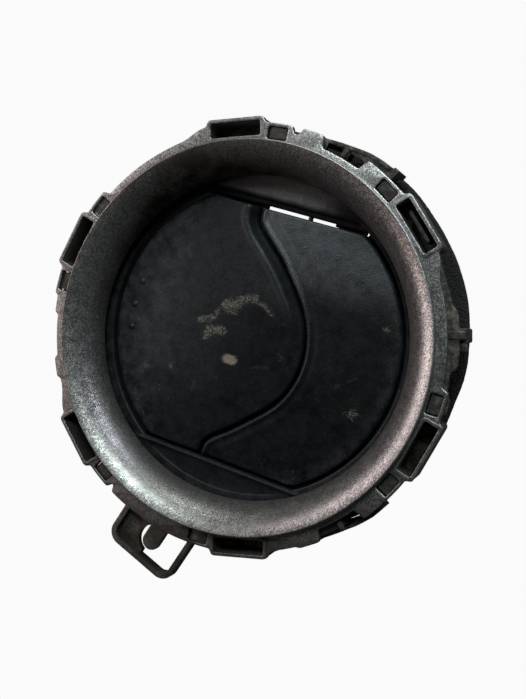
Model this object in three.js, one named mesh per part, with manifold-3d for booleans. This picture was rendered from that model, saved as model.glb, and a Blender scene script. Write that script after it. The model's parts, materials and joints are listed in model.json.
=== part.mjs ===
// Round dashboard air vent: a painted bezel ring that clips into a panel, with a rotor that
// turns about the vent's axis and two flaps that tilt together inside it.
// Millimetres, +Z out of the vent's face. The vent stands on the rear rim of its barrel.

import * as THREE from 'three';
import { mergeVertices } from 'three/addons/utils/BufferGeometryUtils.js';
import Module from 'manifold-3d';

const wasm = await Module();
wasm.setup();

// ---------- driving dimensions ----------

const HEIGHT = 48;               // rear rim to the front crest of the bezel ring
const AXIS_Y = 3.2;              // the vent's axis, from the middle of the whole object's footprint

const CREST_RADIUS = 48.9;       // front crest of the bezel ring
const RING_RADIUS = 50;          // outer edge of the bezel ring
const MOUTH_RADIUS = 42.4;       // inner lip of the bezel ring
const FUNNEL_DEPTH = 11;
const FUNNEL_WALL = 1.6;

const FLANGE_TOP = HEIGHT - 2;
const FLANGE_THICKNESS = 2;
const FLANGE_RADIUS = 52.6;
const FRAME_RADIUS = 54.4;       // flange round the windows
const EAR_ANGLES = [169, 188];   // degrees, small ears on the flange's edge
const EAR_SPAN = 6;
const EAR_REACH = 0.9;

const POCKET_COUNT = 6;
const POCKET_FIRST = 30;         // degrees
const POCKET_WIDTH = 13.5;       // clear, along the rim
const POCKET_INNER = 50.7;
const POCKET_OUTER = 54.5;
const POCKET_WALL = 0.9;
const POCKET_DEPTH = 7.7;
const POCKET_RIB = { shift: 1.5, thickness: 1.2, width: 9, height: 5 };

const WINDOW_ANGLE = 12.4;       // degrees from a pocket's middle
const WINDOW_WIDTH = 5.2;
const WINDOW_INNER = 50.3;
const WINDOW_OUTER = 53.6;
const WINDOW_FRAME = 4.2;        // degrees either side of a window's middle
const PAD_CLEARANCE = 0.3;

// Each pocket's sides, and again half a turn on: windows, and plain shoulders that slope down.
const WINDOW_SIDES = [[0, 1], [1, -1], [2, -1], [2, 1]];
const SHOULDER_SIDES = [[0, -1], [1, 1]];
const SHOULDER_NEAR = 9.5;       // degrees from the pocket's middle, where the slope starts
const SHOULDER_FAR = 17;

const NOTCH_ANGLES = [58, 300];  // degrees, where the collar's clip housings show
const NOTCH_SPAN = 13;
const NOTCH_INNER = 51.4;

const LOOP_TURN = 235;           // degrees, the way the loop points
const LOOP_SHIFT = 9.45;         // from the vent's axis to the loop's middle line
const LOOP_WIDTH = 21.1;         // outside
const LOOP_REACH = 64.45;        // outer edge, from the vent's axis
const LOOP_ROOT = 53.7;          // radius where the loop leaves the flange
const LOOP_START = 46;           // where its sides are drawn from, before the root is cut
const LOOP_PLATE = [228, 261];   // degrees, wide stretch of flange that carries the loop
const LOOP_WALL = 1.5;
const LOOP_DEPTH = 3.4;
const LOOP_CORNER = 3.6;
const TONGUE_RADIUS = 2.5;
const TONGUE_REACH = 57.8;
const TONGUE_SHIFT = 0.6;        // from the loop's middle line
const TONGUE_INSET = 0.6;        // below the front of the strip, and above its back
const SCALLOP_RADIUS = 4;
const WEB_WIDTH = 10.4;

const COLLAR_TOP = FLANGE_TOP - FLANGE_THICKNESS - 0.3;
const COLLAR_INNER = 46.9;
const COLLAR_OUTER = 49.3;
const COLLAR_FLANGE = 53.5;
const COLLAR_FLANGE_THICKNESS = 1.8;
const BAY_MARGIN = 9.6;          // degrees from a pocket's middle to the flange beside it
const LOOP_BAY_STEP = 0.6;       // the collar's flange is narrower under the loop
const COLLAR_LENGTH = 16;
const TRACK_INNER = 43.7;
const TRACK_THICKNESS = 1.5;
const PAD_DROP = 0.7;            // below the front of the flange

// Outer edges, as [degrees, radius]. The side edge stands clear of the bezel's flange.
const SIDE_EDGE = [
  [-20.4, 54.9], [-16, 54.9], [-14, 53.7], [-9.5, 53.4], [-7.5, 55], [-1, 55.2],
  [6, 55.1], [8.5, 53.9], [14, 53.7], [20.4, 53.7],
];
const CLIP_EDGES = [
  [[44.4, 57.2], [46.5, 56.6], [49, 56.5], [53, 56.1], [58, 55.2], [64, 54.4], [70, 54.2]],
  [[289, 54.7], [294, 54.2], [300, 54.6], [303, 55], [308, 55.4], [311, 55.3]],
];
const CLIP_ROOF_DROP = 1.6;      // below the collar's front
const CLIP_ROOF_THICKNESS = 1.8;
const CLIP_SKIRT_THICKNESS = 1.4;
const CLIP_SKIRT_DEPTH = 10.5;
const CLIP_END_DEPTH = 7;
const CLIP_END_SPAN = 1.6;       // degrees

const NOTCH_RIB_WIDTH = 1.3;
const NOTCH_RIB_DEPTH = 5;
const NOTCH_RIB_RISE = 1.2;
const NOTCH_WELLS = [[58, 1], [58, -1], [300, 1]];   // openings beside the notches' ribs
const WELL_FROM = 0.95;          // degrees from the rib's middle
const WELL_TO = 5.7;
const WELL_INNER = 50.4;
const WELL_OUTER = 53.5;

const BOSS_REACH = 56.9;
const BOSS_WIDTH = 3.6;
const BOSS_SHIFT = 0.4;
const BOSS_DROP = 1.2;
const BOSS_SKIRT = 4;

const BARREL_OUTER = 51.3;
const BARREL_WALL = 1.6;
const BARREL_TOP = HEIGHT - 11.4;
const SPIGOT_OUTER = 48.4;
const SPIGOT_LENGTH = 10;

const FOAM_OUTER = 56.5;
const FOAM_TOP = HEIGHT - 17;
const FOAM_LENGTH = 18.5;
const FOAM_CHAMFER = 0.8;

const ROTOR_TURN = -17.3;        // degrees, at rest
const ROTOR_TOP = HEIGHT - 12.5;
const ROTOR_BORE = 41;
const ROTOR_RIM = 45.9;
const ROTOR_RIM_THICKNESS = 3.1;
const SLEEVE_INNER = 41.8;       // wider than the bore, to clear the flaps' swing
const SLEEVE_OUTER = 43;
const SLEEVE_LENGTH = 12;
const SNAP_RIDGE = 0.7;
const BORE_LIP = 1.2;
const BORE_STEP = 2;
const BUSH_CLEARANCE = 0.1;
const RUNNING_GAP = 0.3;
const LAND_EDGE = 34.8;          // from the vent's axis to each land's straight edge
const LAND_THICKNESS = 2;
const SKIRT_THICKNESS = 1.2;     // wall behind each land's straight edge
const SKIRT_DEPTH = 10;
const SKIRT_INNER = 34;          // the wall steps in under the flaps' faces
const SKIRT_STEP = 3;            // from the rotor's top to that step
const SLIT_FROM = -9.6;          // the stretch of the upper land that has no wall
const SLIT_TO = 12.7;
const UPPER_WALL_END = 17.8;
const LEDGE_INNER = 38.4;        // stop behind the right flap's rim
const LEDGE_SPAN = 57;           // degrees either side of the flap's middle
const LEDGE_THICKNESS = 1.2;
const LEDGE_DROP = 0.4;          // below the flap's back

const FLAP_EDGE = 33.7;
const FLAP_RIM = 40.2;
const FLAP_TOP = HEIGHT - 12.3;
const FLAP_THICKNESS = 2.2;
const FLAP_EDGE_ROUND = 0.6;
const SPLIT_GAP = 0.9;
const LIP_REACH = 2.6;           // the right flap's lip, behind the left flap's edge
const LIP_THICKNESS = 1.1;
const LIP_ROOT = [0.7, 1.4];     // where the lip joins its flap, in from the edge

const HINGE_Z = HEIGHT - 18;
const LEFT_HINGE_X = -16;
const RIGHT_HINGE_X = 5;
const SPINE_RADIUS = 1.9;
const SPINE_END = 32.6;
const PIN_RADIUS = 0.65;
const PIN_START = 29;
const PIN_CLEARANCE = 0.08;
const PRESS_FIT = 0.05;          // round a pin held in its flap
const BUSH_RADIUS = 1.9;
const LEFT_BUSH_START = 34.9;    // from the vent's axis to each bush
const RIGHT_BUSH_START = 36.8;
const BUSH_LENGTH = 2.5;
const LUG_WIDTH = 6.2;
const LUG_BOTTOM = HINGE_Z - 3.1;
const SPINE_BLOCK = { middle: 30.6, half: 1.8 };
const CENTRE_RIB = { half: 0.9, reach: 24 };

const CRANK_LENGTH = 9;
const CRANK_LEAN = 40;           // degrees from straight back, at rest
const CRANK_THICKNESS = 2.8;
const CRANK_WIDTH = 3.4;
const CRANK_END_RADIUS = 2.3;
const LINK_PIN_RADIUS = 0.75;
const LINK_THICKNESS = 1.8;
const LINK_GAP = 0.4;
const LINK_HALF_WIDTH = 1.3;
const LINK_BORE_CLEARANCE = 0.15;
const LINK_HEAD = { rim: 0.6, from: 0.3, to: 1.1 };

const ROUND_STEPS = 72;          // facets round the vent
const RING_STEPS = 48;           // facets round the rings inside
const PIN_STEPS = 16;

// The S-shaped split between the flaps, from the upper land to the lower one.
const SPLIT_POINTS = [
  [-7.2, FLAP_EDGE], [-5.8, 29], [3.6, 20.3], [12.4, 9], [15.2, -2],
  [12.2, -13], [3, -23], [-4.4, -29.5], [-5.6, -FLAP_EDGE],
];

const SPLIT_STEPS = 26;

// Three finger dots along the left flap's outer edge.
const DOT_RADIUS = 0.8;
const DOT_CIRCLE = 35.2;
const DOT_SINK = 0.35;
const DOT_ANGLES = [170.5, 181.2, 191.5];

// ---------- helpers ----------

const degrees = THREE.MathUtils.degToRad;

// A closed geometry becomes a solid, facing outwards whichever way its outline was drawn.
function solidOf(geometry) {
  const bare = geometry.clone();
  bare.deleteAttribute('normal');
  bare.deleteAttribute('uv');
  const merged = mergeVertices(bare, 1e-4);
  const vertProperties = Float32Array.from(merged.attributes.position.array);
  const triVerts = Uint32Array.from(merged.index.array);
  const solid = new wasm.Manifold(new wasm.Mesh({ numProp: 3, vertProperties, triVerts }));
  if (solid.volume() > 0) return solid;
  for (let i = 0; i < triVerts.length; i += 3) {
    [triVerts[i], triVerts[i + 1]] = [triVerts[i + 1], triVerts[i]];
  }
  return new wasm.Manifold(new wasm.Mesh({ numProp: 3, vertProperties, triVerts }));
}

function geometryOf(solid) {
  const mesh = solid.getMesh();
  const geometry = new THREE.BufferGeometry();
  geometry.setAttribute('position', new THREE.BufferAttribute(mesh.vertProperties, mesh.numProp));
  geometry.setIndex(new THREE.BufferAttribute(mesh.triVerts, 1));
  geometry.computeVertexNormals();
  return geometry;
}

function join(solids) {
  return solids.reduce((whole, next) => whole.add(next));
}

// A closed outline of [radius, height] points, turned about the vent's axis.
function turned(outline, steps = ROUND_STEPS) {
  const points = [...outline, outline[0]].map(([radius, z]) => new THREE.Vector2(radius, z));
  return solidOf(new THREE.LatheGeometry(points, steps).rotateX(Math.PI / 2));
}

function tube(inner, outer, bottom, top) {
  return turned([[inner, bottom], [outer, bottom], [outer, top], [inner, top]], RING_STEPS);
}

// A flat shape with its thickness running from bottom to top.
function plate(shape, bottom, top, curveSegments = 12) {
  const geometry = new THREE.ExtrudeGeometry(shape, {
    depth: top - bottom, bevelEnabled: false, curveSegments,
  });
  return solidOf(geometry.translate(0, 0, bottom));
}

// Part of a flat ring between two angles in degrees.
function sector(inner, outer, from, to, bottom, top) {
  const shape = new THREE.Shape();
  shape.absarc(0, 0, outer, degrees(from), degrees(to), false);
  shape.absarc(0, 0, inner, degrees(to), degrees(from), true);
  return plate(shape, bottom, top, Math.max(2, Math.round((to - from) / 6)));
}

// A flat piece behind an outer edge of [degrees, radius] points. Its inner edge follows inner(radius).
function edgedBand(edge, inner, bottom, top) {
  const corner = (angle, radius) =>
    new THREE.Vector2(radius * Math.cos(degrees(angle)), radius * Math.sin(degrees(angle)));
  const outside = edge.map(([angle, radius]) => corner(angle, radius));
  const inside = edge.map(([angle, radius]) => corner(angle, inner(radius)));
  return plate(new THREE.Shape([...outside, ...inside.reverse()]), bottom, top);
}

function disc(radius, bottom, top) {
  const shape = new THREE.Shape();
  shape.absarc(0, 0, radius, 0, Math.PI * 2, false);
  return plate(shape, bottom, top, RING_STEPS);
}

// A block whose middle lies at an angle: inner and outer are distances from the axis.
function rimBlock(angle, inner, outer, width, bottom, top, shift = 0) {
  const geometry = new THREE.BoxGeometry(outer - inner, width, top - bottom);
  geometry.translate((inner + outer) / 2, shift, (bottom + top) / 2);
  return solidOf(geometry.rotateZ(degrees(angle)));
}

// A round bar along Y.
function barAlongY(radius, x, z, from, to, steps = PIN_STEPS) {
  const geometry = new THREE.CylinderGeometry(radius, radius, to - from, steps);
  return solidOf(geometry.translate(x, (from + to) / 2, z));
}

function block(x0, x1, y0, y1, z0, z1) {
  const geometry = new THREE.BoxGeometry(x1 - x0, y1 - y0, z1 - z0);
  return solidOf(geometry.translate((x0 + x1) / 2, (y0 + y1) / 2, (z0 + z1) / 2));
}

function finish(color, roughness, metalness = 0) {
  return new THREE.MeshStandardMaterial({ color, roughness, metalness });
}

function named(name, solid, material) {
  const mesh = new THREE.Mesh(geometryOf(solid), material);
  mesh.name = name;
  return mesh;
}

const pocketAngles = Array.from({ length: POCKET_COUNT }, (_, i) => POCKET_FIRST + (i * 360) / POCKET_COUNT);
const windowAngles = WINDOW_SIDES.flatMap(([pocket, side]) =>
  [0, 180].map((turn) => pocketAngles[pocket] + side * WINDOW_ANGLE + turn));

// ---------- bezel ----------

function funnelArc(radius, depth, from, to, steps) {
  return Array.from({ length: steps + 1 }, (_, i) => {
    const angle = degrees(from + ((to - from) * i) / steps);
    return [CREST_RADIUS - radius * Math.sin(angle), HEIGHT - FUNNEL_DEPTH + depth * Math.cos(angle)];
  });
}

function bezelRing() {
  const funnelReach = CREST_RADIUS - MOUTH_RADIUS;
  const flangeBottom = FLANGE_TOP - FLANGE_THICKNESS;
  const backDepth = FUNNEL_DEPTH - FUNNEL_WALL;
  const backStart = THREE.MathUtils.radToDeg(Math.acos((FUNNEL_DEPTH - HEIGHT + flangeBottom) / backDepth));
  const edgeRound = RING_RADIUS - CREST_RADIUS;
  return turned([
    [FLANGE_RADIUS, flangeBottom],
    [FLANGE_RADIUS, FLANGE_TOP],
    [RING_RADIUS, FLANGE_TOP],
    [RING_RADIUS, HEIGHT - edgeRound],
    [RING_RADIUS - edgeRound * 0.3, HEIGHT - edgeRound * 0.3],
    ...funnelArc(funnelReach, FUNNEL_DEPTH, 0, 90, 8),
    ...funnelArc(funnelReach - FUNNEL_WALL, backDepth, 90, backStart, 4),
  ]);
}

function pocketBox(angle) {
  const width = POCKET_WIDTH + 2 * POCKET_WALL;
  const bottom = FLANGE_TOP - POCKET_DEPTH - POCKET_WALL;
  return rimBlock(angle, POCKET_INNER - POCKET_WALL, POCKET_OUTER + POCKET_WALL, width, bottom, FLANGE_TOP);
}

function pocketHollow(angle) {
  const bottom = FLANGE_TOP - POCKET_DEPTH;
  return rimBlock(angle, POCKET_INNER, POCKET_OUTER, POCKET_WIDTH, bottom, FLANGE_TOP + 1);
}

// An upright rib that stands on the floor of the first pocket.
function pocketRib() {
  const { shift, thickness, width, height } = POCKET_RIB;
  const floor = FLANGE_TOP - POCKET_DEPTH - POCKET_WALL / 2;
  const start = POCKET_INNER + shift;
  return rimBlock(POCKET_FIRST, start, start + thickness, width, floor, floor + height);
}

// A strip bent into a rounded rectangle, with a tongue and a scalloped web inside it.
function fixingLoop() {
  const top = FLANGE_TOP;
  const bottom = top - LOOP_DEPTH;
  const half = LOOP_WIDTH / 2;
  const outline = (inset) => {
    const corner = LOOP_CORNER - inset * 0.7;
    const reach = LOOP_REACH - inset;
    const side = half - inset;
    const shape = new THREE.Shape();
    shape.moveTo(LOOP_START, -side);
    shape.lineTo(reach - corner, -side);
    shape.absarc(reach - corner, -side + corner, corner, -Math.PI / 2, 0, false);
    shape.absarc(reach - corner, side - corner, corner, 0, Math.PI / 2, false);
    shape.lineTo(LOOP_START, side);
    return shape;
  };
  const strip = plate(outline(0), bottom, top, 4).subtract(plate(outline(LOOP_WALL), bottom - 1, top + 1, 4));
  const web = block(LOOP_START, LOOP_REACH - LOOP_WALL / 2, -half + LOOP_WALL / 2, -half + WEB_WIDTH,
    bottom, bottom + LOOP_WALL);
  const scallop = new THREE.Shape();
  scallop.absarc(TONGUE_REACH, TONGUE_SHIFT, SCALLOP_RADIUS, 0, Math.PI * 2, false);
  const tongue = new THREE.Shape();
  tongue.moveTo(LOOP_START, TONGUE_SHIFT - TONGUE_RADIUS);
  tongue.absarc(TONGUE_REACH, TONGUE_SHIFT, TONGUE_RADIUS, -Math.PI / 2, Math.PI / 2, false);
  tongue.lineTo(LOOP_START, TONGUE_SHIFT + TONGUE_RADIUS);
  const whole = strip
    .add(web.subtract(plate(scallop, bottom - 1, top + 1, 10)))
    .add(plate(tongue, bottom + TONGUE_INSET, top - TONGUE_INSET, 8));
  return whole.translate([0, LOOP_SHIFT, 0]).rotate([0, 0, LOOP_TURN]).subtract(disc(LOOP_ROOT, bottom - 1, top + 1));
}

// The flange beside a pocket that slopes from the pocket's depth down to the plain rim.
function shoulder(angle, side) {
  const corner = (radius, offset) => {
    const turn = degrees(angle + side * offset);
    return new THREE.Vector2(radius * Math.cos(turn), radius * Math.sin(turn));
  };
  const shape = new THREE.Shape([
    corner(RING_RADIUS - 1, SHOULDER_NEAR - 3),
    corner(FRAME_RADIUS, SHOULDER_NEAR - 3),
    corner(FRAME_RADIUS, SHOULDER_NEAR),
    corner(FLANGE_RADIUS - 0.1, SHOULDER_FAR),
    corner(RING_RADIUS - 1, SHOULDER_FAR),
  ]);
  return plate(shape, FLANGE_TOP - FLANGE_THICKNESS, FLANGE_TOP);
}

function makeBezel() {
  const flangeBottom = FLANGE_TOP - FLANGE_THICKNESS;
  const frames = windowAngles.map((angle) =>
    sector(RING_RADIUS - 1, FRAME_RADIUS, angle - WINDOW_FRAME, angle + WINDOW_FRAME, flangeBottom, FLANGE_TOP));
  const shoulders = SHOULDER_SIDES.flatMap(([pocket, side]) =>
    [0, 180].map((turn) => shoulder(pocketAngles[pocket] + turn, side)));
  const windows = windowAngles.map((angle) =>
    rimBlock(angle, WINDOW_INNER, WINDOW_OUTER, WINDOW_WIDTH, flangeBottom - 1, FLANGE_TOP + 1));
  const notchEnds = NOTCH_ANGLES.map((angle) =>
    sector(RING_RADIUS - 1, FRAME_RADIUS, angle - NOTCH_SPAN, angle + NOTCH_SPAN, flangeBottom, FLANGE_TOP));
  const notches = NOTCH_ANGLES.map((angle) =>
    sector(NOTCH_INNER, FRAME_RADIUS + 2, angle - NOTCH_SPAN / 2, angle + NOTCH_SPAN / 2,
      flangeBottom - 1, FLANGE_TOP + 1));
  const ears = EAR_ANGLES.map((angle) =>
    sector(RING_RADIUS - 1, FLANGE_RADIUS + EAR_REACH, angle - EAR_SPAN / 2, angle + EAR_SPAN / 2,
      flangeBottom, FLANGE_TOP));
  const loopPlate = sector(RING_RADIUS - 1, FRAME_RADIUS, ...LOOP_PLATE, flangeBottom, FLANGE_TOP);
  const flats = [...frames, ...shoulders, ...notchEnds, ...ears, loopPlate];
  const body = join([bezelRing(), ...flats, ...pocketAngles.map(pocketBox)]);
  const cuts = join([...pocketAngles.map(pocketHollow), ...windows, ...notches]);
  return join([body.subtract(cuts), fixingLoop(), pocketRib()]);
}

// ---------- collar, barrel and foam ----------

function makeCollar() {
  const bottom = COLLAR_TOP - COLLAR_LENGTH;
  const flangeBottom = COLLAR_TOP - COLLAR_FLANGE_THICKNESS;
  const body = turned([
    [TRACK_INNER, bottom],
    [COLLAR_OUTER, bottom],
    [COLLAR_OUTER, COLLAR_TOP],
    [COLLAR_INNER, COLLAR_TOP],
    [COLLAR_INNER, bottom + TRACK_THICKNESS],
    [TRACK_INNER, bottom + TRACK_THICKNESS],
  ]);
  const halfBay = 180 / POCKET_COUNT - BAY_MARGIN;
  const bays = pocketAngles.slice(0, -1).map((angle) => {
    const middle = angle + 180 / POCKET_COUNT;
    const overLoop = middle > LOOP_PLATE[0] && middle < LOOP_PLATE[1];
    const reach = overLoop ? COLLAR_FLANGE - LOOP_BAY_STEP : COLLAR_FLANGE;
    return sector(COLLAR_INNER + 1, reach, middle - halfBay, middle + halfBay, flangeBottom, COLLAR_TOP);
  });
  const sideBay = edgedBand(SIDE_EDGE, () => COLLAR_INNER + 1, flangeBottom, COLLAR_TOP);
  const padWidth = WINDOW_WIDTH - 2 * PAD_CLEARANCE;
  const pads = windowAngles.map((angle) =>
    rimBlock(angle, WINDOW_INNER + PAD_CLEARANCE, WINDOW_OUTER - PAD_CLEARANCE, padWidth,
      flangeBottom, FLANGE_TOP - PAD_DROP));
  const wells = NOTCH_WELLS.map(([angle, side]) =>
    sector(WELL_INNER, WELL_OUTER, ...[angle + side * WELL_FROM, angle + side * WELL_TO].sort((a, b) => a - b),
      COLLAR_TOP - NOTCH_RIB_DEPTH, COLLAR_TOP + 1));
  const ribs = NOTCH_ANGLES.map((angle) =>
    rimBlock(angle, NOTCH_INNER + PAD_CLEARANCE, FRAME_RADIUS, NOTCH_RIB_WIDTH,
      COLLAR_TOP - NOTCH_RIB_DEPTH, COLLAR_TOP + NOTCH_RIB_RISE));
  const front = join([body, ...bays, sideBay, ...CLIP_EDGES.map(clipHousing)]).subtract(join(wells));
  return join([front, ...pads, ...ribs, sideBoss()]);
}

// The frame that a panel clip hooks behind: a roof, an outer skirt and two end walls.
function clipHousing(edge) {
  const top = COLLAR_TOP - CLIP_ROOF_DROP;
  const roof = edgedBand(edge, () => COLLAR_FLANGE - 1, top - CLIP_ROOF_THICKNESS, top);
  const skirt = edgedBand(edge, (radius) => radius - CLIP_SKIRT_THICKNESS, COLLAR_TOP - CLIP_SKIRT_DEPTH, top);
  const [first, last] = [edge[0], edge[edge.length - 1]];
  const ends = [[first, first[0]], [last, last[0] - CLIP_END_SPAN]].map(([[, radius], start]) =>
    sector(COLLAR_OUTER - 1, radius, start, start + CLIP_END_SPAN, COLLAR_TOP - CLIP_END_DEPTH, top));
  return join([roof, skirt, ...ends]);
}

// A short rib on the side away from the loop.
function sideBoss() {
  const top = COLLAR_TOP - BOSS_DROP;
  const low = BARREL_TOP + 0.4;
  const rib = rimBlock(0, COLLAR_OUTER - 1, BOSS_REACH, BOSS_WIDTH, low, top, BOSS_SHIFT);
  const skirt = rimBlock(0, BARREL_OUTER + 0.6, BOSS_REACH, BOSS_WIDTH, low - BOSS_SKIRT, low + 1, BOSS_SHIFT);
  return join([rib, skirt]);
}

function makeBarrel() {
  const inner = BARREL_OUTER - BARREL_WALL;
  const ledge = COLLAR_TOP - COLLAR_LENGTH - 0.3;
  const neck = SPIGOT_LENGTH + 2.5;
  return turned([
    [SPIGOT_OUTER - BARREL_WALL, 0],
    [SPIGOT_OUTER - 0.8, 0],
    [SPIGOT_OUTER, 1.6],
    [SPIGOT_OUTER, SPIGOT_LENGTH],
    [BARREL_OUTER, neck],
    [BARREL_OUTER, BARREL_TOP],
    [inner, BARREL_TOP],
    [inner, ledge],
    [COLLAR_INNER, ledge],
    [COLLAR_INNER, ledge - 1.4],
    [inner, ledge - 3],
    [inner, neck + 1],
    [SPIGOT_OUTER - BARREL_WALL, SPIGOT_LENGTH + 0.6],
  ]);
}

function makeFoam() {
  const bottom = FOAM_TOP - FOAM_LENGTH;
  const inner = BARREL_OUTER + 0.3;
  return turned([
    [inner, bottom],
    [FOAM_OUTER - FOAM_CHAMFER, bottom],
    [FOAM_OUTER, bottom + FOAM_CHAMFER],
    [FOAM_OUTER, FOAM_TOP - FOAM_CHAMFER],
    [FOAM_OUTER - FOAM_CHAMFER, FOAM_TOP],
    [inner, FOAM_TOP],
  ]);
}

// ---------- rotor ----------

// The hinges as seen from the upper land, or from the lower one after half a turn.
const hinges = [
  { name: 'left', x: LEFT_HINGE_X, bushStart: LEFT_BUSH_START },
  { name: 'right', x: RIGHT_HINGE_X, bushStart: RIGHT_BUSH_START },
];

// A face behind a straight edge, a wall under that edge, and a lug for each hinge bush.
function land(side) {
  const reach = (SLEEVE_INNER + SLEEVE_OUTER) / 2;
  const edgeAngle = Math.acos(LAND_EDGE / reach);
  const shape = new THREE.Shape();
  shape.absarc(0, 0, reach, Math.PI / 2 - edgeAngle, Math.PI / 2 + edgeAngle, false);
  const face = plate(shape, ROTOR_TOP - LAND_THICKNESS, ROTOR_TOP, 10);
  const inside = disc(reach, ROTOR_TOP - SLEEVE_LENGTH, ROTOR_TOP);
  const half = reach * Math.sin(edgeAngle);
  const bottom = ROTOR_TOP - SKIRT_DEPTH;
  const wallTop = ROTOR_TOP - LAND_THICKNESS / 2;
  const back = LAND_EDGE + SKIRT_THICKNESS;
  const wall = (from, to) => block(from, to, LAND_EDGE, back, bottom, wallTop)
    .add(block(from, to, SKIRT_INNER, back, bottom, ROTOR_TOP - SKIRT_STEP));
  const walls = side > 0 ? [wall(-half, SLIT_FROM), wall(SLIT_TO, UPPER_WALL_END)] : [wall(-half, half)];
  const lugs = hinges.map(({ x, bushStart }) => {
    const middle = x * side;
    return block(middle - LUG_WIDTH / 2, middle + LUG_WIDTH / 2, bushStart - 0.1, reach, LUG_BOTTOM, wallTop);
  });
  const whole = face.add(join([...walls, ...lugs]).intersect(inside));
  return side > 0 ? whole : whole.rotate([0, 0, 180]);
}

function makeRotor() {
  const rimBottom = ROTOR_TOP - ROTOR_RIM_THICKNESS;
  const bottom = ROTOR_TOP - SLEEVE_LENGTH;
  const ring = turned([
    [SLEEVE_INNER, bottom],
    [SLEEVE_OUTER, bottom],
    [SLEEVE_OUTER + SNAP_RIDGE, bottom + SNAP_RIDGE],
    [SLEEVE_OUTER, bottom + 2 * SNAP_RIDGE],
    [SLEEVE_OUTER, rimBottom],
    [ROTOR_RIM, rimBottom],
    [ROTOR_RIM, ROTOR_TOP],
    [ROTOR_BORE, ROTOR_TOP],
    [ROTOR_BORE, ROTOR_TOP - BORE_LIP],
    [SLEEVE_INNER, ROTOR_TOP - BORE_STEP],
  ]);
  const ledgeTop = FLAP_TOP - FLAP_THICKNESS - LEDGE_DROP;
  const ledge = sector(LEDGE_INNER, SLEEVE_INNER + 0.5, -LEDGE_SPAN, LEDGE_SPAN,
    ledgeTop - LEDGE_THICKNESS, ledgeTop);
  const body = join([ring, land(1), land(-1), ledge]);
  const holes = hinges.flatMap(({ x, bushStart }) => [1, -1].map((side) =>
    barBetween(BUSH_RADIUS + BUSH_CLEARANCE, x, side, LAND_EDGE - 1, bushStart + BUSH_LENGTH + RUNNING_GAP)));
  return body.subtract(join(holes));
}

// A round bar on a hinge axis, from one distance to another above (1) or below (-1) the middle.
function barBetween(radius, x, side, near, far) {
  return barAlongY(radius, x, HINGE_Z, Math.min(side * near, side * far), Math.max(side * near, side * far));
}

function makeBush({ x, bushStart }, side) {
  const end = bushStart + BUSH_LENGTH;
  const bore = barBetween(PIN_RADIUS + PIN_CLEARANCE, x, side, bushStart - 1, end + 1);
  return barBetween(BUSH_RADIUS, x, side, bushStart, end).subtract(bore);
}

function makeFrictionRing() {
  const top = ROTOR_TOP - ROTOR_RIM_THICKNESS - RUNNING_GAP;
  const bottom = COLLAR_TOP - COLLAR_LENGTH + TRACK_THICKNESS + RUNNING_GAP;
  return tube(SLEEVE_OUTER + SNAP_RIDGE, ROTOR_RIM - BUSH_CLEARANCE, bottom, top);
}

function makeRetainer() {
  const top = COLLAR_TOP - COLLAR_LENGTH - RUNNING_GAP;
  const bottom = ROTOR_TOP - SLEEVE_LENGTH + 2 * SNAP_RIDGE + RUNNING_GAP;
  return tube(SLEEVE_OUTER + RUNNING_GAP, ROTOR_RIM, bottom, top);
}

// ---------- flaps ----------

// Points along the split, moved sideways by half the gap.
function splitEdge(offset) {
  const curve = new THREE.SplineCurve(SPLIT_POINTS.map(([x, y]) => new THREE.Vector2(x, y)));
  const steps = SPLIT_STEPS;
  return Array.from({ length: steps + 1 }, (_, i) => {
    const point = curve.getPointAt(i / steps);
    const along = curve.getTangentAt(i / steps);
    const x = point.x - along.y * offset;
    const y = THREE.MathUtils.clamp(point.y + along.x * offset, -FLAP_EDGE, FLAP_EDGE);
    return new THREE.Vector2(x, i === 0 || i === steps ? Math.sign(point.y) * FLAP_EDGE : y);
  });
}

function flapPlate(side) {
  const inset = FLAP_EDGE_ROUND;
  const cornerAngle = Math.asin(FLAP_EDGE / FLAP_RIM);
  const shape = new THREE.Shape(splitEdge(side * (SPLIT_GAP / 2)));
  if (side > 0) shape.absarc(0, 0, FLAP_RIM, -cornerAngle, cornerAngle, false);
  else shape.absarc(0, 0, FLAP_RIM, Math.PI + cornerAngle, Math.PI - cornerAngle, true);
  const geometry = new THREE.ExtrudeGeometry(shape, {
    depth: FLAP_THICKNESS - 2 * inset,
    bevelEnabled: true,
    bevelSize: inset,
    bevelOffset: -inset,
    bevelThickness: inset,
    bevelSegments: 1,
    curveSegments: 10,
  });
  return solidOf(geometry.translate(0, 0, FLAP_TOP - FLAP_THICKNESS + inset));
}

function crankEnd(x) {
  const lean = degrees(CRANK_LEAN);
  return { x: x - CRANK_LENGTH * Math.sin(lean), z: HINGE_Z - CRANK_LENGTH * Math.cos(lean) };
}

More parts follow.
